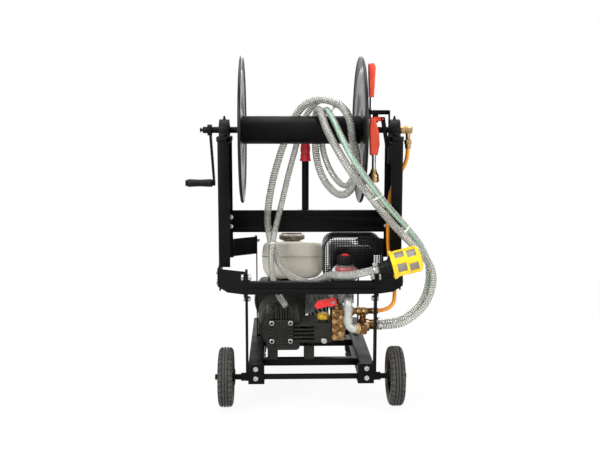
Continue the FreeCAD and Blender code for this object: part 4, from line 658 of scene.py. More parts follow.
def hoseTube(name, hose):
    # outer skin with its spiral rib, inner bore, and a ring face that closes the wall at each end
    line = hoseLine(name + "Line", hose["points"])
    step = hose["pitch"] * mm / hose["stepsPerRib"]
    frames = hoseFrames(evenSpots(line, step))
    outer, bore, rib = hose["diameter"] / 2 * mm, hose["bore"] / 2 * mm, hose["ribHeight"] * mm
    build = bmesh.new()
    mapLayer = build.loops.layers.uv.new("hoseMap")
    sides = hose["sides"]

    def ringAt(frameHere, radiusAt):
        spot, way, side, other = frameHere
        ring = []
        for j in range(sides):
            turn = 2 * math.pi * j / sides
            aside = side * math.cos(turn) + other * math.sin(turn)
            ring.append(build.verts.new(spot + aside * radiusAt(j / sides)))
        return ring

    def skin(rings, lengths, outwards):
        for k in range(len(rings) - 1):
            for j in range(sides):
                corners = [(k, j), (k, j + 1), (k + 1, j + 1), (k + 1, j)]
                if not outwards:
                    corners.reverse()
                face = build.faces.new([rings[a][b % sides] for a, b in corners])
                face.smooth = True
                for loop, (a, b) in zip(face.loops, corners):
                    loop[mapLayer].uv = (lengths[a], b / sides)

    def wallAt(rows):
        return [k * step for k in rows]

    def spiral(k):
        turns = k / hose["stepsPerRib"]
        return lambda share: outer - rib * (0.5 - 0.5 * math.cos(2 * math.pi * (turns - share)))

    rows = range(len(frames))
    outerRings = [ringAt(frames[k], spiral(k)) for k in rows]
    skin(outerRings, wallAt(rows), True)
    coarse = sorted({*range(0, len(frames), 6), len(frames) - 1})   # the smooth bore needs fewer rings
    innerRings = [ringAt(frames[k], lambda share: bore) for k in coarse]
    skin(innerRings, wallAt(coarse), False)
    for end, flip in ((0, False), (-1, True)):
        outerRing, innerRing = outerRings[end], innerRings[end]
        for j in range(sides):
            around = (j + 1) % sides
            corners = [outerRing[j], innerRing[j], innerRing[around], outerRing[around]]
            face = build.faces.new(corners[::-1] if flip else corners)
            for loop in face.loops:
                loop[mapLayer].uv = (0, j / sides)
    mesh = bpy.data.meshes.new(name)
    build.normal_update()
    build.to_mesh(mesh)
    build.free()
    piece = addObject(name, mesh)
    path = [list(spot) for spot, way, side, other in frames]
    length = sum((Vector(b) - Vector(a)).length for a, b in zip(path, path[1:]))
    print(name, "length", round(length, 3))
    return piece, path, length


finish["clearSpiralPvc"] = hoseMaterial("clearSpiralPvc", suction["pitch"], None)
finish["clearStripedPvc"] = hoseMaterial("clearStripedPvc", returnLine["pitch"],
                                         {"at": 0.25, "halfWidth": 0.045})
recipes["clearSpiralPvc"] = recipes["clearStripedPvc"] = {"slot": "clear_hose"}
suctionPiece, suctionPath, suctionLength = hoseTube("suctionHose", suction)
settle(suctionPiece, "clearSpiralPvc", "suction_hose", angle=0)
returnPiece, returnPath, returnLength = hoseTube("returnHose", returnLine)
settle(returnPiece, "clearStripedPvc", "return_hose", angle=0)
pressurePiece, pressurePath, pressureLength = hoseTube("pressureHose", pressureLine)
settle(pressurePiece, "orangePvc", "pressure_hose", angle=0)
print("hoses laid")


def dentPiece(piece, size, depth, direction):
    # sheet steel is never quite flat: a slow wander, the same on both faces
    clouds = bpy.data.textures.new(piece.name + "Wander", "CLOUDS")
    clouds.noise_scale = size * mm
    addModifier(piece, "DISPLACE", texture=clouds, texture_coords="LOCAL", direction=direction,
                strength=depth * mm, mid_level=0.5)


def notchFaces(piece, centre, axis, count, radii, depth, along):
    # every second group of faces round an axis is pressed in: tread notches, knurls and finger grooves
    across = 1 if axis == 0 else 0
    upwards = 1 if axis == 2 else 2

    def wanted(c):
        spot = c - Vector(centre)
        out = math.hypot(spot[across], spot[upwards])
        turn = math.atan2(spot[upwards], spot[across]) / (2 * math.pi) % 1
        inBand = radii[0] < out < radii[1] and along[0] < abs(spot[axis]) < along[1]
        return inBand and turn * count % 1 < 0.5

    selectFaces(piece, wanted)
    bpy.ops.mesh.extrude_region_shrink_fatten(TRANSFORM_OT_shrink_fatten={"value": -depth * mm})
    backToObject()


def ribRow(name, count, first, step, wide, deep, high, bevel, segments=2):
    # equal upright ribs side by side, from the left edge of the first one
    row = []
    for k in range(count):
        left = first + k * step
        row.append(block(name, (left, deep[0], high[0]), (left + wide, deep[1], high[1]), bevel, segments))
    return row


up, forwards, rightwards = (0, 0, 1), (0, -1, 0), (1, 0, 0)   # the ways that turned parts point

# reel flanges: pressed steel discs with two ring beads and a rolled rim
flange = {
    "axis": (125, 738.2), "left": -184, "right": 138, "radius": 200, "half": 0.8, "sides": 160,
    "roll": 4, "rollFrom": -150, "rollStep": 25, "wander": 1.1, "wanderSize": 130,
    "beads": [(8.5, 0), (50, 0), (55, 2), (62, 4.8), (76, 5.4), (90, 4.8), (97, 2), (102, 0), (130, 0.5),
              (156, 0), (161, 1.8), (166, 3.8), (172, 4.2), (178, 3.8), (183, 1.8), (188, 0), (192, 0)],
}


def reelFlange(name, faceX, outward, node):
    half, radius, roll = flange["half"], flange["radius"], flange["roll"]
    front = [(outward * lift - half, out) for out, lift in flange["beads"]]
    back = [(outward * lift + half, out) for out, lift in flange["beads"]]
    rim = []
    for k in range(1, 12):
        turn = math.radians(flange["rollFrom"] + flange["rollStep"] * k)
        rim.append((roll * math.sin(turn), radius - roll + roll * math.cos(turn)))
    piece = lathe(name, front + rim + back[::-1] + front[:1], (faceX, *flange["axis"]), rightwards,
                  flange["sides"], capped=False)
    dentPiece(piece, flange["wanderSize"], flange["wander"], "X")
    return settle(piece, "blackEnamel", node, angle=50)


reelFlange("reelFlangeLeft", flange["left"], -1, "reel_flange_left")
reelFlange("reelFlangeRight", flange["right"], 1, "reel_flange_right")
print("flanges pressed")

# tyres: three grooves round the tread and notched shoulders
tyre = {
    "centreX": 228, "axleZ": 80, "half": 19, "sides": 96, "tread": 80, "grooveFloor": 76, "grooveSlope": 0.8,
    "shoulder": 6, "lane": 26 / 7,
    "notches": {"count": 32, "radii": (73, 81), "depth": 2.6, "along": (11.5, 18.5)},
    "wall": [(-16, 52), (-17.6, 54), (-19, 58), (-19.4, 65), (-19, 71), (-17.2, 75.4), (-13.8, 78.4)],
}


def tyrePiece(name, side, node):
    tread, floor, slope, lane = tyre["tread"], tyre["grooveFloor"], tyre["grooveSlope"], tyre["lane"]
    rings = list(tyre["wall"])
    for k in range(3):
        left = -tyre["half"] + tyre["shoulder"] + lane * (2 * k + 1)
        rings += [(left, tread), (left + slope, floor), (left + lane - slope, floor), (left + lane, tread)]
    rings += [(-along, out) for along, out in tyre["wall"][::-1]]
    centre = (side * tyre["centreX"], 0, tyre["axleZ"])
    piece = lathe(name, rings + rings[:1], centre, rightwards, tyre["sides"], capped=False)
    notchFaces(piece, centre, 0, **tyre["notches"])
    return settle(piece, "tyreRubber", node, angle=30)


tyrePiece("tyreLeft", -1, "tyre_left")
tyrePiece("tyreRight", 1, "tyre_right")
print("tyres moulded")

# muffler guard: perforated sheet bent over in an arch, with a slotted front and a plain rim round it
guard = {
    "left": 40, "right": 206, "front": 112, "back": 198, "bottom": 334, "top": 444,
    "corner": 30, "cornerSteps": 8, "cornerSlack": 3, "cell": 6.0, "bar": 1.25, "sheet": 1.2, "rim": 3.5,
    "slotWide": 6.9, "slotHigh": 5.8, "slotOut": 0.6, "plainSide": 6, "plainFoot": 8,
}
guardMiddle = (guard["left"] + guard["right"]) / 2
guardWidth = guard["right"] - guard["left"]
guardHeight = guard["top"] - guard["bottom"]


def archSpots():
    left, right, top, corner = guard["left"], guard["right"], guard["top"], guard["corner"]
    spots = [Vector((left, 0, guard["bottom"])), Vector((left, 0, top - corner))]
    for k in range(1, guard["cornerSteps"] + 1):
        turn = math.radians(180 - 90 * k / guard["cornerSteps"])
        across, rise = corner * math.cos(turn), corner * math.sin(turn)
        spots.append(Vector((left + corner + across, 0, top - corner + rise)))
    return evenSpots(spots + [Vector((left + right - p.x, 0, p.z)) for p in spots[::-1]], guard["cell"])


def archLine(name):
    # one edge line along the arch, pulled out of a single point
    spots = archSpots()
    clearSelection()
    bpy.ops.mesh.primitive_plane_add(size=mm, location=place(spots[0].x, guard["front"], spots[0].z))
    piece = bpy.context.active_object
    applyPlace(piece)
    editAll(piece)
    bpy.ops.mesh.merge(type="CENTER")
    for before, here in zip(spots, spots[1:]):
        pull(*((here - before) * mm))
    bpy.ops.mesh.select_all(action="SELECT")
    piece.name = name
    return piece


def perforate(piece, wanted):
    # each chosen face becomes a hole with a bar round it
    selectFaces(piece, wanted)
    bpy.ops.mesh.inset(thickness=guard["bar"] * mm, use_individual=True)
    bpy.ops.mesh.delete(type="FACE")
    backToObject()


def holedFront(c):
    return c.z > guard["bottom"] + guard["plainFoot"]


def holedSide(c):
    return guard["front"] + guard["plainSide"] < c.y < guard["back"] - guard["plainSide"] and holedFront(c)


def beyondCorner(c):
    across = max(0, abs(c.x - guardMiddle) - (guardWidth / 2 - guard["corner"]))
    rise = max(0, c.z - (guard["top"] - guard["corner"]))
    return math.hypot(across, rise) > guard["corner"] - guard["cornerSlack"]


hood = archLine("guardHood")
for row in range(round((guard["back"] - guard["front"]) / guard["cell"])):
    pull(0, guard["cell"] * mm, 0)
backToObject()
perforate(hood, holedSide)
rim = archLine("guardRim")
pull(0, 0, 0)
rimScale = ((guardWidth - 2 * guard["rim"]) / guardWidth, 1, (guardHeight - guard["rim"]) / guardHeight)
bpy.ops.transform.resize(value=rimScale, center_override=place(guardMiddle, guard["front"], guard["bottom"]))
backToObject()
clearSelection()
faceSpot = place(guardMiddle, guard["front"] + guard["slotOut"], (guard["bottom"] + guard["top"]) / 2)
bpy.ops.mesh.primitive_grid_add(x_subdivisions=round(guardWidth / guard["slotWide"]),
                                y_subdivisions=round(guardHeight / guard["slotHigh"]), size=1,
                                location=faceSpot, rotation=(math.radians(90), 0, 0))
face = bpy.context.active_object
face.scale = (guardWidth * mm, guardHeight * mm, 1)
applyPlace(face)
selectFaces(face, beyondCorner)
bpy.ops.mesh.delete(type="FACE")
backToObject()
perforate(face, holedFront)
for part in (hood, rim, face):
    addModifier(part, "SOLIDIFY", thickness=guard["sheet"] * mm, offset=0.0)
settle(joinPieces("mufflerGuard", [hood, rim, face]), "blackEnamel", "muffler_guard", angle=30)

# muffler: it stands clear of its guard all round, so light comes through the guard's edges
muffler = {
    "can": {"low": (66, 126, 338), "high": (182, 186, 410), "bevel": 15, "segments": 5},
    "port": {"start": (80, 170, 356), "way": (0, 97, -86), "sides": 32, "rings": [(0, 13), (112, 13)]},
}
exhaust = [block("mufflerCan", **muffler["can"]), lathe("exhaustPort", **muffler["port"])]
settle(joinPieces("muffler", exhaust), "blackCastIron", "muffler")
print("guard punched")

# fuel tank: two pressed halves, full in the middle and drawn in below, on a rolled seam
tank = {
    "shell": {"low": (-129, 209), "high": (41, 386), "corner": 27, "segments": 12,
              "layers": [(299, -32), (300.2, -22), (303.6, -13), (309, -6), (317, -0.6), (328, 3), (342, 5),
                         (358, 6), (361.4, 6), (361.8, 7.8), (363.8, 7.8), (364, 2.4), (366.6, 2.4),
                         (366.8, 5.4), (376, 5.2), (385, 4), (391, 2), (395.5, -1.4), (398.4, -6.4),
                         (400.2, -14), (401, -26), (401.4, -50)]},
    "neck": {"start": (-47, 272, 396.6), "sides": 64,
             "rings": [(0, 29), (1.5, 27), (3, 26), (14, 26), (15.4, 25.4)]},
    "slope": 0.17, "slopeFrom": 352, "slopeTo": 396,
}
tankShell = stacked("tankShell", **tank["shell"])
tankMiddle = place(0, (tank["shell"]["low"][1] + tank["shell"]["high"][1]) / 2, 0).y
for vertex in tankShell.data.vertices:
    # the top leans down towards the back
    share = (vertex.co.z / mm - tank["slopeFrom"]) / (tank["slopeTo"] - tank["slopeFrom"])
    vertex.co.z += min(max(share, 0), 1) * tank["slope"] * (tankMiddle - vertex.co.y)
tankNeck = lathe("tankNeck", **tank["neck"])
settle(joinPieces("fuelTank", [tankShell, tankNeck]), "beigeEnamel", "fuel_tank", angle=50)

# its cap: a pressed shell with a knurled edge, and the bar that turns it
tankCap = {
    "shell": {"start": (-47, 272, 412.4), "sides": 96,
              "rings": [(0, 33), (0.8, 36.6), (2.2, 38), (3.2, 38), (11.4, 37.4), (13, 36.4), (15.2, 33),
                        (16.4, 28), (17, 23), (16, 19), (15.8, 6)]},
    "knurls": {"centre": (-47, 272, 420), "axis": 2, "count": 24, "radii": (36.9, 39), "depth": 1.0,
               "along": (0, 5)},
    "bar": {"low": (-76, 267, 427.2), "high": (-18, 277, 432), "bevel": 2},
}
fillerCap = lathe("fillerCap", **tankCap["shell"])
notchFaces(fillerCap, **tankCap["knurls"])
settle(fillerCap, "brownEnamel", "fuel_cap", angle=40)
settle(block("fillerCapBar", **tankCap["bar"]), "brownEnamel", body="fuel_cap")
print("tank drawn")

# air cleaner: moulded box with its cover seam and ribs, and the wing nut that holds the cover
cleaner = {
    "box": {"low": (70, 292), "high": (144, 384), "corner": 16, "segments": 6,
            "layers": [(316, -6), (318, -2), (322, 0), (346, 0), (346.4, -1.8), (348.6, -1.8), (349, 1.4),
                       (376, 0.6), (385, -2.6), (390, -8), (392, -16), (392.6, -28)]},
    "nut": {"start": (107, 384, 368), "way": (0, 1, 0), "sides": 32,
            "rings": [(-1, 10), (2, 10), (3, 8), (3.4, 5), (9, 5), (10, 4)]},
    "wing": {"low": (95, 386.5, 366), "high": (119, 392.5, 370), "bevel": 1.4},
    "ribs": {"count": 4, "first": 84, "step": 14, "wide": 4, "deep": (290.2, 386), "high": (320, 343),
             "bevel": 0.9},
}
cleanerParts = [stacked("cleanerBox", **cleaner["box"]), lathe("nutBoss", **cleaner["nut"]),
                block("nutWing", **cleaner["wing"])] + ribRow("cleanerRib", **cleaner["ribs"])
settle(joinPieces("airCleaner", cleanerParts), "blackPlastic", "air_cleaner")

# pump: square cover with vents round a ribbed panel, socket screws, fins above, and louvres on the head
pump = {
    "middle": (-80, 203), "half": 33, "thick": 11, "edge": 2.4,
    "panelHalf": 17, "panelDeep": (-3.4, 1), "panelEdge": 1.4,
    "ventOut": 25, "ventRows": (-13.5, -4.5, 4.5, 13.5), "ventLong": 4.4, "ventWide": 1.4, "ventDeep": 4,
    "ribs": {"count": 9, "first": -95.2, "step": 3.6, "wide": 1.6, "deep": (-5, -2.4), "high": (188, 218),
             "bevel": 0.5, "segments": 1},
    "fins": 9, "finFrom": -31, "finStep": 7.2, "finWide": 3.2, "finDeep": (0.5, 34), "finHigh": (35, 57),
    # the screws' black socket discs are painted shade: each stands for the shadow down in a hex recess
    "finFall": 0.6, "screwOut": 25, "socketShade": [(0.8, 4), (1.5, 4), (1.6, 3.6)],
    "screw": [(0, 6.4), (0.5, 7), (2.4, 7), (3.6, 6.2), (4.2, 5.2), (4.2, 4.1), (1.0, 3.9)],
    "louvres": (181, 191.5, 202, 212.5, 223), "louvreWide": (-46, 7), "louvreDeep": (-2.4, 6),
    "louvreHigh": (4.2, 0.4),
    "drainWasher": {"start": (36, 3, 178.5), "way": forwards, "sides": 32, "rings": [(0, 8.6), (1.4, 8.6)]},
    "drainHex": {"start": (36, 1.6, 178.5), "way": forwards, "acrossFlats": 13, "height": 6},
    "sheet": {"low": (3, 312, 164), "high": (66, 315, 262), "bevel": 1.2},
}
px, pz = pump["middle"]


def coverBlock(name, half, front, back, bevel):
    # a square block on the cover's middle
    return block(name, (px - half, front, pz - half), (px + half, back, pz + half), bevel)


coverPlate = coverBlock("coverPlate", pump["half"], 0, pump["thick"], pump["edge"])
vents = []
long, wide, deep = pump["ventLong"], pump["ventWide"], pump["ventDeep"]
for row in pump["ventRows"]:
    for out in (-pump["ventOut"], pump["ventOut"]):
        for x, z, halfX, halfZ in ((out, row, long, wide), (row, out, wide, long)):
            low, high = (px + x - halfX, -deep, pz + z - halfZ), (px + x + halfX, deep, pz + z + halfZ)
            vents.append(block("vent", low, high, bevel=0))
cutter = joinPieces("ventCutter", vents)
addModifier(coverPlate, "BOOLEAN", operation="DIFFERENCE", object=cutter, solver="EXACT")
bpy.data.objects.remove(cutter)
coverParts = [coverPlate, coverBlock("coverPanel", pump["panelHalf"], *pump["panelDeep"], pump["panelEdge"])]
coverParts += ribRow("panelRib", **pump["ribs"])
for k in range(pump["fins"]):
    # the middle fin is the tallest
    (front, back), (foot, top) = pump["finDeep"], pump["finHigh"]
    left = px + pump["finFrom"] + k * pump["finStep"]
    peak = (left + pump["finWide"], back, pz + top - pump["finFall"] * abs(k - 4))
    coverParts.append(block("coverFin", (left, front, pz + foot), peak, bevel=0.8, segments=2))
settle(joinPieces("pumpCover", coverParts), "paintedCasting", "pump_cover")
# each cover screw gets a black disc set down in its hex socket: painted shade, standing for the shadow in the recess
screws = []
socketShades = []
for sideX in (-1, 1):
    for sideZ in (-1, 1):
        spot = (px + sideX * pump["screwOut"], 0, pz + sideZ * pump["screwOut"])
        screws.append(lathe("coverScrew", pump["screw"], spot, forwards, 24))
        socketShades.append(lathe("socketShadeDisc", pump["socketShade"], spot, forwards, 6))
settle(joinPieces("pumpScrews", screws), "brightZinc")
settle(joinPieces("pumpSocketShade", socketShades), "blackCastIron")
louvres = []
for z in pump["louvres"]:
    (left, right), (front, back), (under, over) = pump["louvreWide"], pump["louvreDeep"], pump["louvreHigh"]
    louvres.append(block("headLouvre", (left, front, z - under), (right, back, z - over), 0.9, segments=2))
settle(joinPieces("headLouvres", louvres), "paintedCasting")
drain = [lathe("drainWasher", **pump["drainWasher"]), hexNut("drainHex", **pump["drainHex"])]
settle(joinPieces("drainPlug", drain), "brightZinc")
# sheet that leads the cooling air down past the cylinder
settle(block("coolingSheet", **pump["sheet"]), "blackPowderCoat")
print("pump cast")

# brass valve block with its plugs and unions, and the galvanised elbow into the inlet tee
valves = {
    # plugs and unions by their place on their face, and their width across the flats
    "front": [(63, 187, 14), (63, 208, 12), (63, 230, 14), (63, 251, 12), (80, 196, 15), (80, 220, 13),
              (80, 243, 15)],
    "frontY": 5.4, "frontHeight": 6, "frontBossY": -0.4, "frontBoss": [(0, 0.36), (5, 0.36), (6.4, 0.26)],
    "top": [(72, 21), (72, 45), (72, 69)], "topZ": 270, "topFlats": 15, "height": 7,
    "side": [(21, 236), (45, 236), (69, 236), (45, 205), (69, 205)], "sideX": 91.5, "sideFlats": 17,
    "sideBossX": 98, "sideBoss": [(0, 6), (9, 6), (10.5, 4.4)],
    "unions": [((105, 24, 254), 25, 9), ((124, 24, 254), 22, 8), ((140, 24, 254), 19, 14),
               ((121, -7, 213), 28, 11), ((150, 24, 213), 26, 9), ((150, 47, 217), 21, 9)],
    "teeBoss": {"start": (141, 24, 225), "sides": 32,
                "rings": [(0, 10), (7, 10), (8, 8.5), (13, 8.5), (14, 7)]},
    "teeCap": {"start": (141, 24, 239), "way": up, "acrossFlats": 17, "height": 7},
    "teeFrom": 132.9, "elbowTo": 133.1,
    "elbowSocket": {"start": (99, -7, 229), "rings": [(0, 11.6), (0.6, 13.2), (15, 13.2), (16.4, 12.2)]},
    "upperSocket": {"start": (99, -7, 264), "rings": [(0, 11.6), (0.6, 12.8), (9, 12.8), (10, 12)]},
}
plugs = []
for x, z, acrossFlats in valves["front"]:
    plugs.append(hexNut("frontPlug", (x, valves["frontY"], z), forwards, acrossFlats, valves["frontHeight"]))
    boss = [(along, acrossFlats * out) for along, out in valves["frontBoss"]]
    plugs.append(lathe("plugBoss", boss, (x, valves["frontBossY"], z), forwards, 20))
for x, y in valves["top"]:
    plugs.append(hexNut("topPlug", (x, y, valves["topZ"]), up, valves["topFlats"], valves["height"]))
for y, z in valves["side"]:
    plugs.append(hexNut("sidePlug", (valves["sideX"], y, z), rightwards, valves["sideFlats"],
                        valves["height"]))
    plugs.append(lathe("sideBoss", valves["sideBoss"], (valves["sideBossX"], y, z), rightwards, 20))
for spot, acrossFlats, height in valves["unions"]:
    plugs.append(hexNut("union", spot, rightwards, acrossFlats, height))
fittings = [softened("valveBody", "manifold", 0.9),
            softened("inletTee", "inlet_pipe", 0.8, keep=lambda x, y, z: x > valves["teeFrom"]),
            lathe("teeBoss", **valves["teeBoss"]), hexNut("teeCap", **valves["teeCap"])]
settle(joinPieces("valveBlock", fittings), "forgedBrass", "manifold")
settle(joinPieces("valvePlugs", plugs), "turnedBrass")
elbow = [softened("elbowPipe", "inlet_pipe", 0.6, keep=lambda x, y, z: x < valves["elbowTo"]),
         lathe("elbowSocket", **valves["elbowSocket"]), lathe("upperSocket", **valves["upperSocket"])]
settle(joinPieces("inletElbow", elbow), "galvanisedPipe", "inlet_pipe")
print("valve block forged")

# regulator: clear dome over a red ring, black knob with a red cap
regulatorSpot = (93, 38, 352)
regulator = {
    "dome": {"start": regulatorSpot, "sides": 64,
             "rings": [(-16, 26), (-13, 32), (-8, 35.6), (0, 37.6), (8, 37), (14, 34.4), (19, 30.5), (23, 25),
                       (25.5, 21)]},
    "ring": {"start": regulatorSpot,
             "rings": [(6, 14.6), (6, 19), (8, 21), (15, 21), (20, 18), (22, 14.6)]},
    "core": {"start": regulatorSpot, "rings": [(-15, 20), (-6, 20), (-5, 14.4), (22, 14.4)]},
    "neck": {"start": regulatorSpot, "rings": [(24, 21), (24.4, 22.6), (27.6, 22.6), (28, 21)]},
    "cap": {"start": (93, 38, 404.4), "sides": 40, "rings": [(-0.6, 10), (1.8, 10), (2.8, 9), (3.2, 6)]},
}
settle(lathe("regulatorDome", **regulator["dome"]), "clearAcrylic", "regulator_dome", angle=60)
settle(lathe("regulatorRing", **regulator["ring"]), "leverRed")
core = [lathe("regulatorCore", **regulator["core"]), lathe("regulatorNeck", **regulator["neck"])]
settle(joinPieces("regulatorCore", core), "castAluminium")
settle(lathe("knobCap", **regulator["cap"]), "leverRed", body="regulator_knob")
settle(softened("bypassLever", "bypass_lever", 1.2, 3), "leverRed", "bypass_lever")
print("regulator assembled")

# spray gun: moulded grips, chrome lance and a brass nozzle, hung in its bracket with a black knob
gun = {
    "lance": {"start": (172, 78, 624), "sides": 32,
              "rings": [(0, 5.4), (44, 5.4), (45, 7), (49, 7), (50, 5.6)]},
    "link": {"start": (163, 78, 768), "sides": 32,
             "rings": [(0, 5), (22, 5), (22.5, 9), (30, 9), (30.5, 5), (60, 5)]},
    "nozzle": {"start": (172, 78, 598), "sides": 24,
               "rings": [(7, 3), (1.5, 4.5), (0, 9.5), (0.6, 13.4), (2, 14.6), (12, 14.8), (13.4, 13.6),
                         (15, 13.6), (16.4, 14.6), (20, 14), (26, 10.4), (30, 8.4), (36, 7.6)]},
    "nozzleGrip": {"centre": (172, 78, 605), "axis": 2, "count": 12, "radii": (14, 15.2), "depth": 0.9,
                   "along": (0, 5.4)},
    "knob": {"start": (175, 95.5, 758),
             "rings": [(0, 7), (1.6, 9.4), (5, 10), (25, 10), (30, 9.4), (32.6, 7.4), (33, 5)]},
    "knobGrip": {"centre": (175, 95.5, 774), "axis": 2, "count": 12, "radii": (9.7, 10.3), "depth": 1.0,
                 "along": (0, 12)},
}
settle(softened("gunGrips", "gun_body", 2.2, 4), "gunPlastic", "gun_body")
lance = [lathe("gunLance", **gun["lance"]), lathe("gunLink", **gun["link"])]
settle(joinPieces("gunLance", lance), "chromePlate", "gun_lance")
nozzle = lathe("gunNozzle", **gun["nozzle"])
notchFaces(nozzle, **gun["nozzleGrip"])
settle(nozzle, "turnedBrass", angle=25)
holderKnob = lathe("holderKnob", **gun["knob"])
notchFaces(holderKnob, **gun["knobGrip"])
settle(holderKnob, "blackPlastic")
print("gun hung")

# brass swivel at the end of the reel shaft, with its collar
swivel = {"start": (262, 125, 738.2), "way": rightwards, "sides": 40,
          "rings": [(0, 9), (0.4, 11.6), (7, 11.6), (7.6, 9)]}
swivelParts = [softened("swivelBody", "swivel", 0.5), lathe("swivelCollar", **swivel)]
settle(joinPieces("swivel", swivelParts), "turnedBrass", "swivel")

# every other solid that gains from broken edges, by its finish, with how far they are broken
dressed = {
    "blackPowderCoat": {"side_rails": 0.8, "cross_bars": 0.6, "uprights": 0.7, "top_bar": 0.8,
                        "reel_arms": 0.7, "post_left": 0.7, "post_right": 0.7, "cross_beam": 0.8,
                        "handle_clevis": 0.6, "gun_holder": 0.7, "crank_arm": 0.8},
    "blackCastIron": {"bearings": 1.0},
    "paintedCasting": {"crankcase": 1.2, "pump_case": 1.2, "pump_head": 0.9},
    "castAluminium": {"cylinder": 0.6, "carburettor": 0.8, "regulator_body": 0.9},
    "blackEnamel": {"recoil_cover": 0.9},
    "blackPlastic": {"starter_handle": 1.2, "throttle_lever": 0.6, "crank_grip": 0.8, "gun_trigger": 0.7,
                     "hub_left": 0.7, "hub_right": 0.7, "regulator_knob": 0.8, "strainer_neck": 0.7},
    "gripVinyl": {"handle_grip": 0.8},
    "footRubber": {"rubber_feet": 0.9},
    "yellowPlastic": {"strainer_cage": 0.7},
    "amberPlastic": {"oil_cap": 0.7},
}
dressedPieces = {}
for finishName, edges in dressed.items():
    for node, edge in edges.items():
        first, *others = node.split("_")
        pieceName = first + ("".join(word.capitalize() for word in others) or "Shell")
        dressedPieces[node] = settle(softened(pieceName, node, edge), finishName, node)
print("edges broken")

# the crank's retaining collar and screw on the end of the reel shaft
shaftEnd = inCart(Vector(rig.box("reel_shaft")[0])).x
crankCollar = {"start": (shaftEnd, *flange["axis"]), "way": (-1, 0, 0), "sides": 32,
               "rings": [(-0.5, 9), (8, 9), (9, 8), (9, 4), (12, 3.6), (13, 6), (15.6, 6.4), (16.6, 5),
                         (16.6, 2.6)]}
settle(lathe("crankCollar", **crankCollar), "blackCastIron", body="reel")

# bolts: bright zinc on the frame, black at the bearings and on the axle
bolts = {"frameTop": 690, "axleFrom": 170, "axleHalf": 24, "axleLow": 55, "axleHigh": 105, "edge": 0.5}


def onAxle(x, y, z):
    inHeight = bolts["axleLow"] < z < bolts["axleHigh"]
    return abs(x) > bolts["axleFrom"] and abs(y) < bolts["axleHalf"] and inHeight


def onFrame(x, y, z):
    return z < bolts["frameTop"] and not onAxle(x, y, z)


def onBearings(x, y, z):
    return z >= bolts["frameTop"]


settle(softened("frameBolts", "frame_bolts", bolts["edge"], keep=onFrame), "brightZinc", "frame_bolts")
settle(softened("bearingBolts", "frame_bolts", bolts["edge"], keep=onBearings), "blackCastIron")
settle(softened("axleWashers", "frame_bolts", bolts["edge"], keep=onAxle), "blackCastIron")

# steel clamps at the fittings, and nylon ties that hold the two hoses together
ties = {
    "edge": 0.3, "suctionAt": (0.16, 0.215, 0.62), "slack": 0.8, "band": 4.6, "wall": 1.2, "sides": 48,
    "lock": {"low": (-3, 11.5, -0.7), "high": (3, 16.5, 5.3), "bevel": 0.6},
    "tail": {"low": (-2, 12, 1.7), "high": (2.2, 38, 2.9), "bevel": 0.3, "segments": 1},
}
hoseClamps = softened("hoseClamps", "hose_ties", ties["edge"], keep=lambda x, y, z: x > 0)
settle(hoseClamps, "brightZinc", "hose_ties")
tankTie = settle(softened("tankTie", "hose_ties", ties["edge"], keep=lambda x, y, z: x <= 0), "naturalNylon")


def tieBand(spot, other):
    # a circle pulled apart to a band round both hoses
    between = (other - spot).length / 2
    clearSelection()
    bpy.ops.mesh.primitive_circle_add(vertices=ties["sides"],
                                      radius=(suction["diameter"] / 2 + ties["slack"]) * mm)
    piece = bpy.context.active_object
    editAll(piece)
    pull(0, 0, ties["band"] * mm)
    backToObject()
    for side in (-1, 1):
        for vertex in piece.data.vertices:
            vertex.select = vertex.co.x * side > 1e-6
        bpy.ops.object.mode_set(mode="EDIT")
        bpy.ops.transform.translate(value=(side * between, 0, 0))
        backToObject()
    return addModifier(piece, "SOLIDIFY", thickness=ties["wall"] * mm, offset=1.0)


def hoseTie(name, share):
    # made round its own middle, then set across both hoses where their lines are nearest
    index = int(share * (len(suctionPath) - 1))
    spot = Vector(suctionPath[index])
    other = min((Vector(p) for p in returnPath), key=lambda p: (p - spot).length)
    way = (Vector(suctionPath[index + 4]) - Vector(suctionPath[index - 4])).normalized()
    aside = (other - spot - way * (other - spot).dot(way)).normalized()
    band = tieBand(spot, other)
    trim = [block("tieLock", **ties["lock"]), block("tieTail", **ties["tail"])]
    for part in trim:
        part.data.transform(Matrix.Translation(-cartShift))
    piece = joinPieces(name, [band] + trim)
    turn = Matrix((aside, way.cross(aside), way)).transposed().to_4x4()
    piece.data.transform(Matrix.Translation((spot + other) / 2) @ turn)
    return settle(piece, "naturalNylon")


tiePieces = [hoseTie("hoseTie" + letter, share) for letter, share in zip("ABC", ties["suctionAt"])]
print("hoses tied")

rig.cord(suctionPiece, exit=suctionPath[0], length=suctionLength, diameter=suction["diameter"] * mm,
        far_end="fitting", stiffness="medium", lay="loose", path=suctionPath,
        with_pieces=[dressedPieces["strainer_neck"], dressedPieces["strainer_cage"], nodes["strainer_mesh"],
                     hoseClamps, tankTie] + tiePieces)
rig.cord(returnPiece, exit=returnPath[0], length=returnLength, diameter=returnLine["diameter"] * mm,
        far_end="bare", stiffness="medium", lay="loose", path=returnPath)
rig.cord(pressurePiece, exit=pressurePath[0], length=pressureLength, diameter=pressureLine["diameter"] * mm,
        far_end="object", stiffness="stiff", lay="loose", path=pressurePath)

# the finish of the solids that stay as they are
nodeFinish = {"blackPowderCoat": ["axle", "handle_tube", "reel_shaft", "reel_drum"],
              "wovenSteel": ["strainer_mesh"]}
for finishName, names in nodeFinish.items():
    for name in names:
        nodes[name].data.materials.clear()
        nodes[name].data.materials.append(finish[finishName])
print("solids finished")

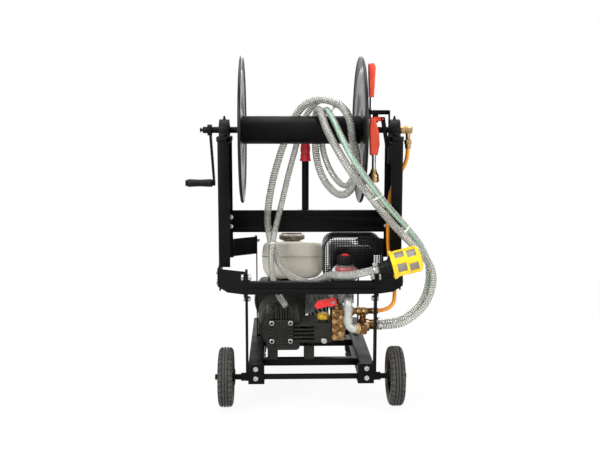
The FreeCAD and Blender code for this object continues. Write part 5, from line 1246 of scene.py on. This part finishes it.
# floor, backdrop and studio light
studio = {
    "floorSize": 60, "paleFrom": 0.75, "paleTo": 2.2, "nearShare": 0.92, "worldLight": 0.5,
    "target": (0, 0, 0.45),
    # each panel's place, its width and height in metres, and its power
    "panels": {
        "keyPanel": ((-1.6, -2.2, 2.0), (1.6, 1.2), 62),
        "fillPanel": ((2.2, -1.8, 1.3), (1.4, 1.6), 30),
        "topPanel": ((0.0, 0.1, 2.7), (2.0, 2.0), 44),
        "backPanel": ((0.6, 2.6, 1.7), (2.0, 1.2), 26)},
}


def seenShare(tree):
    # 1 for what is seen straight, through glass or mirrored in metal, and 0 for what lights the object
    rays = addNode(tree, "LightPath").outputs
    straight = addNode(tree, "Math", links={0: rays["Is Camera Ray"], 1: rays["Is Transmission Ray"]},
                       operation="MAXIMUM")
    return addNode(tree, "Math", links={0: straight.outputs[0], 1: rays["Is Glossy Ray"]},
                   operation="MAXIMUM").outputs[0]


clearSelection()
bpy.ops.mesh.primitive_plane_add(size=studio["floorSize"], location=(0, 0, 0))
floor = bpy.context.active_object
floor.name = "studioFloor"
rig.stage(floor)
paper, paperTree, paperShader = startMaterial("palePaperFloor", Roughness=0.9)
paperShader.inputs["Base Color"].default_value = linearColour("#f4f4f3")
seenPaper = seenShare(paperTree)
paperSpot = addNode(paperTree, "TexCoord").outputs["Object"]
farAway = addNode(paperTree, "VectorMath", links={0: paperSpot}, operation="LENGTH")
paling = addNode(paperTree, "MapRange", {"From Min": studio["paleFrom"], "From Max": studio["paleTo"],
                                         "To Min": studio["nearShare"], "To Max": 1.0},
                 {"Value": farAway.outputs["Value"]})
paleShare = addNode(paperTree, "Math", links={0: seenPaper, 1: paling.outputs["Result"]},
                    operation="MULTIPLY")
paperGlow = addNode(paperTree, "Emission", {"Color": (1, 1, 1, 1), "Strength": 1.0})
paperMix = addNode(paperTree, "MixShader", links={0: paleShare.outputs[0], 1: paperShader.outputs[0],
                                                  2: paperGlow.outputs[0]})
paperTree.links.new(paperMix.outputs[0], paperTree.nodes["Material Output"].inputs["Surface"])
floor.data.materials.append(paper)

world = bpy.data.worlds.new("softRoom")
bpy.context.scene.world = world
world.use_nodes = True
worldTree = world.node_tree
room = worldTree.nodes["Background"]
room.inputs["Color"].default_value = (1, 1, 1, 1)
room.inputs["Strength"].default_value = studio["worldLight"]
white = addNode(worldTree, "Background", {"Color": (1, 1, 1, 1), "Strength": 1.0})
shown = addNode(worldTree, "MixShader", links={0: seenShare(worldTree), 1: room.outputs[0],
                                               2: white.outputs[0]})
worldTree.links.new(shown.outputs[0], worldTree.nodes["World Output"].inputs["Surface"])


def addSoftLight(name, position, size, power):
    lamp = bpy.data.lights.new(name, "AREA")
    lamp.shape = "RECTANGLE"
    lamp.size, lamp.size_y = size
    lamp.energy = power
    holder = addObject(name, lamp)
    holder.location = position
    holder.rotation_euler = (Vector(studio["target"]) - Vector(position)).to_track_quat("-Z", "Y").to_euler()


for name, (position, size, power) in studio["panels"].items():
    addSoftLight(name, position, size, power)

bpy.context.scene.view_settings.view_transform = "Standard"
visualBounds = [list(corner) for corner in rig.bounds()]
with open("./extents.json", "w") as sizeFile:
    json.dump([cadBounds, visualBounds], sizeFile)
print("scene ready")
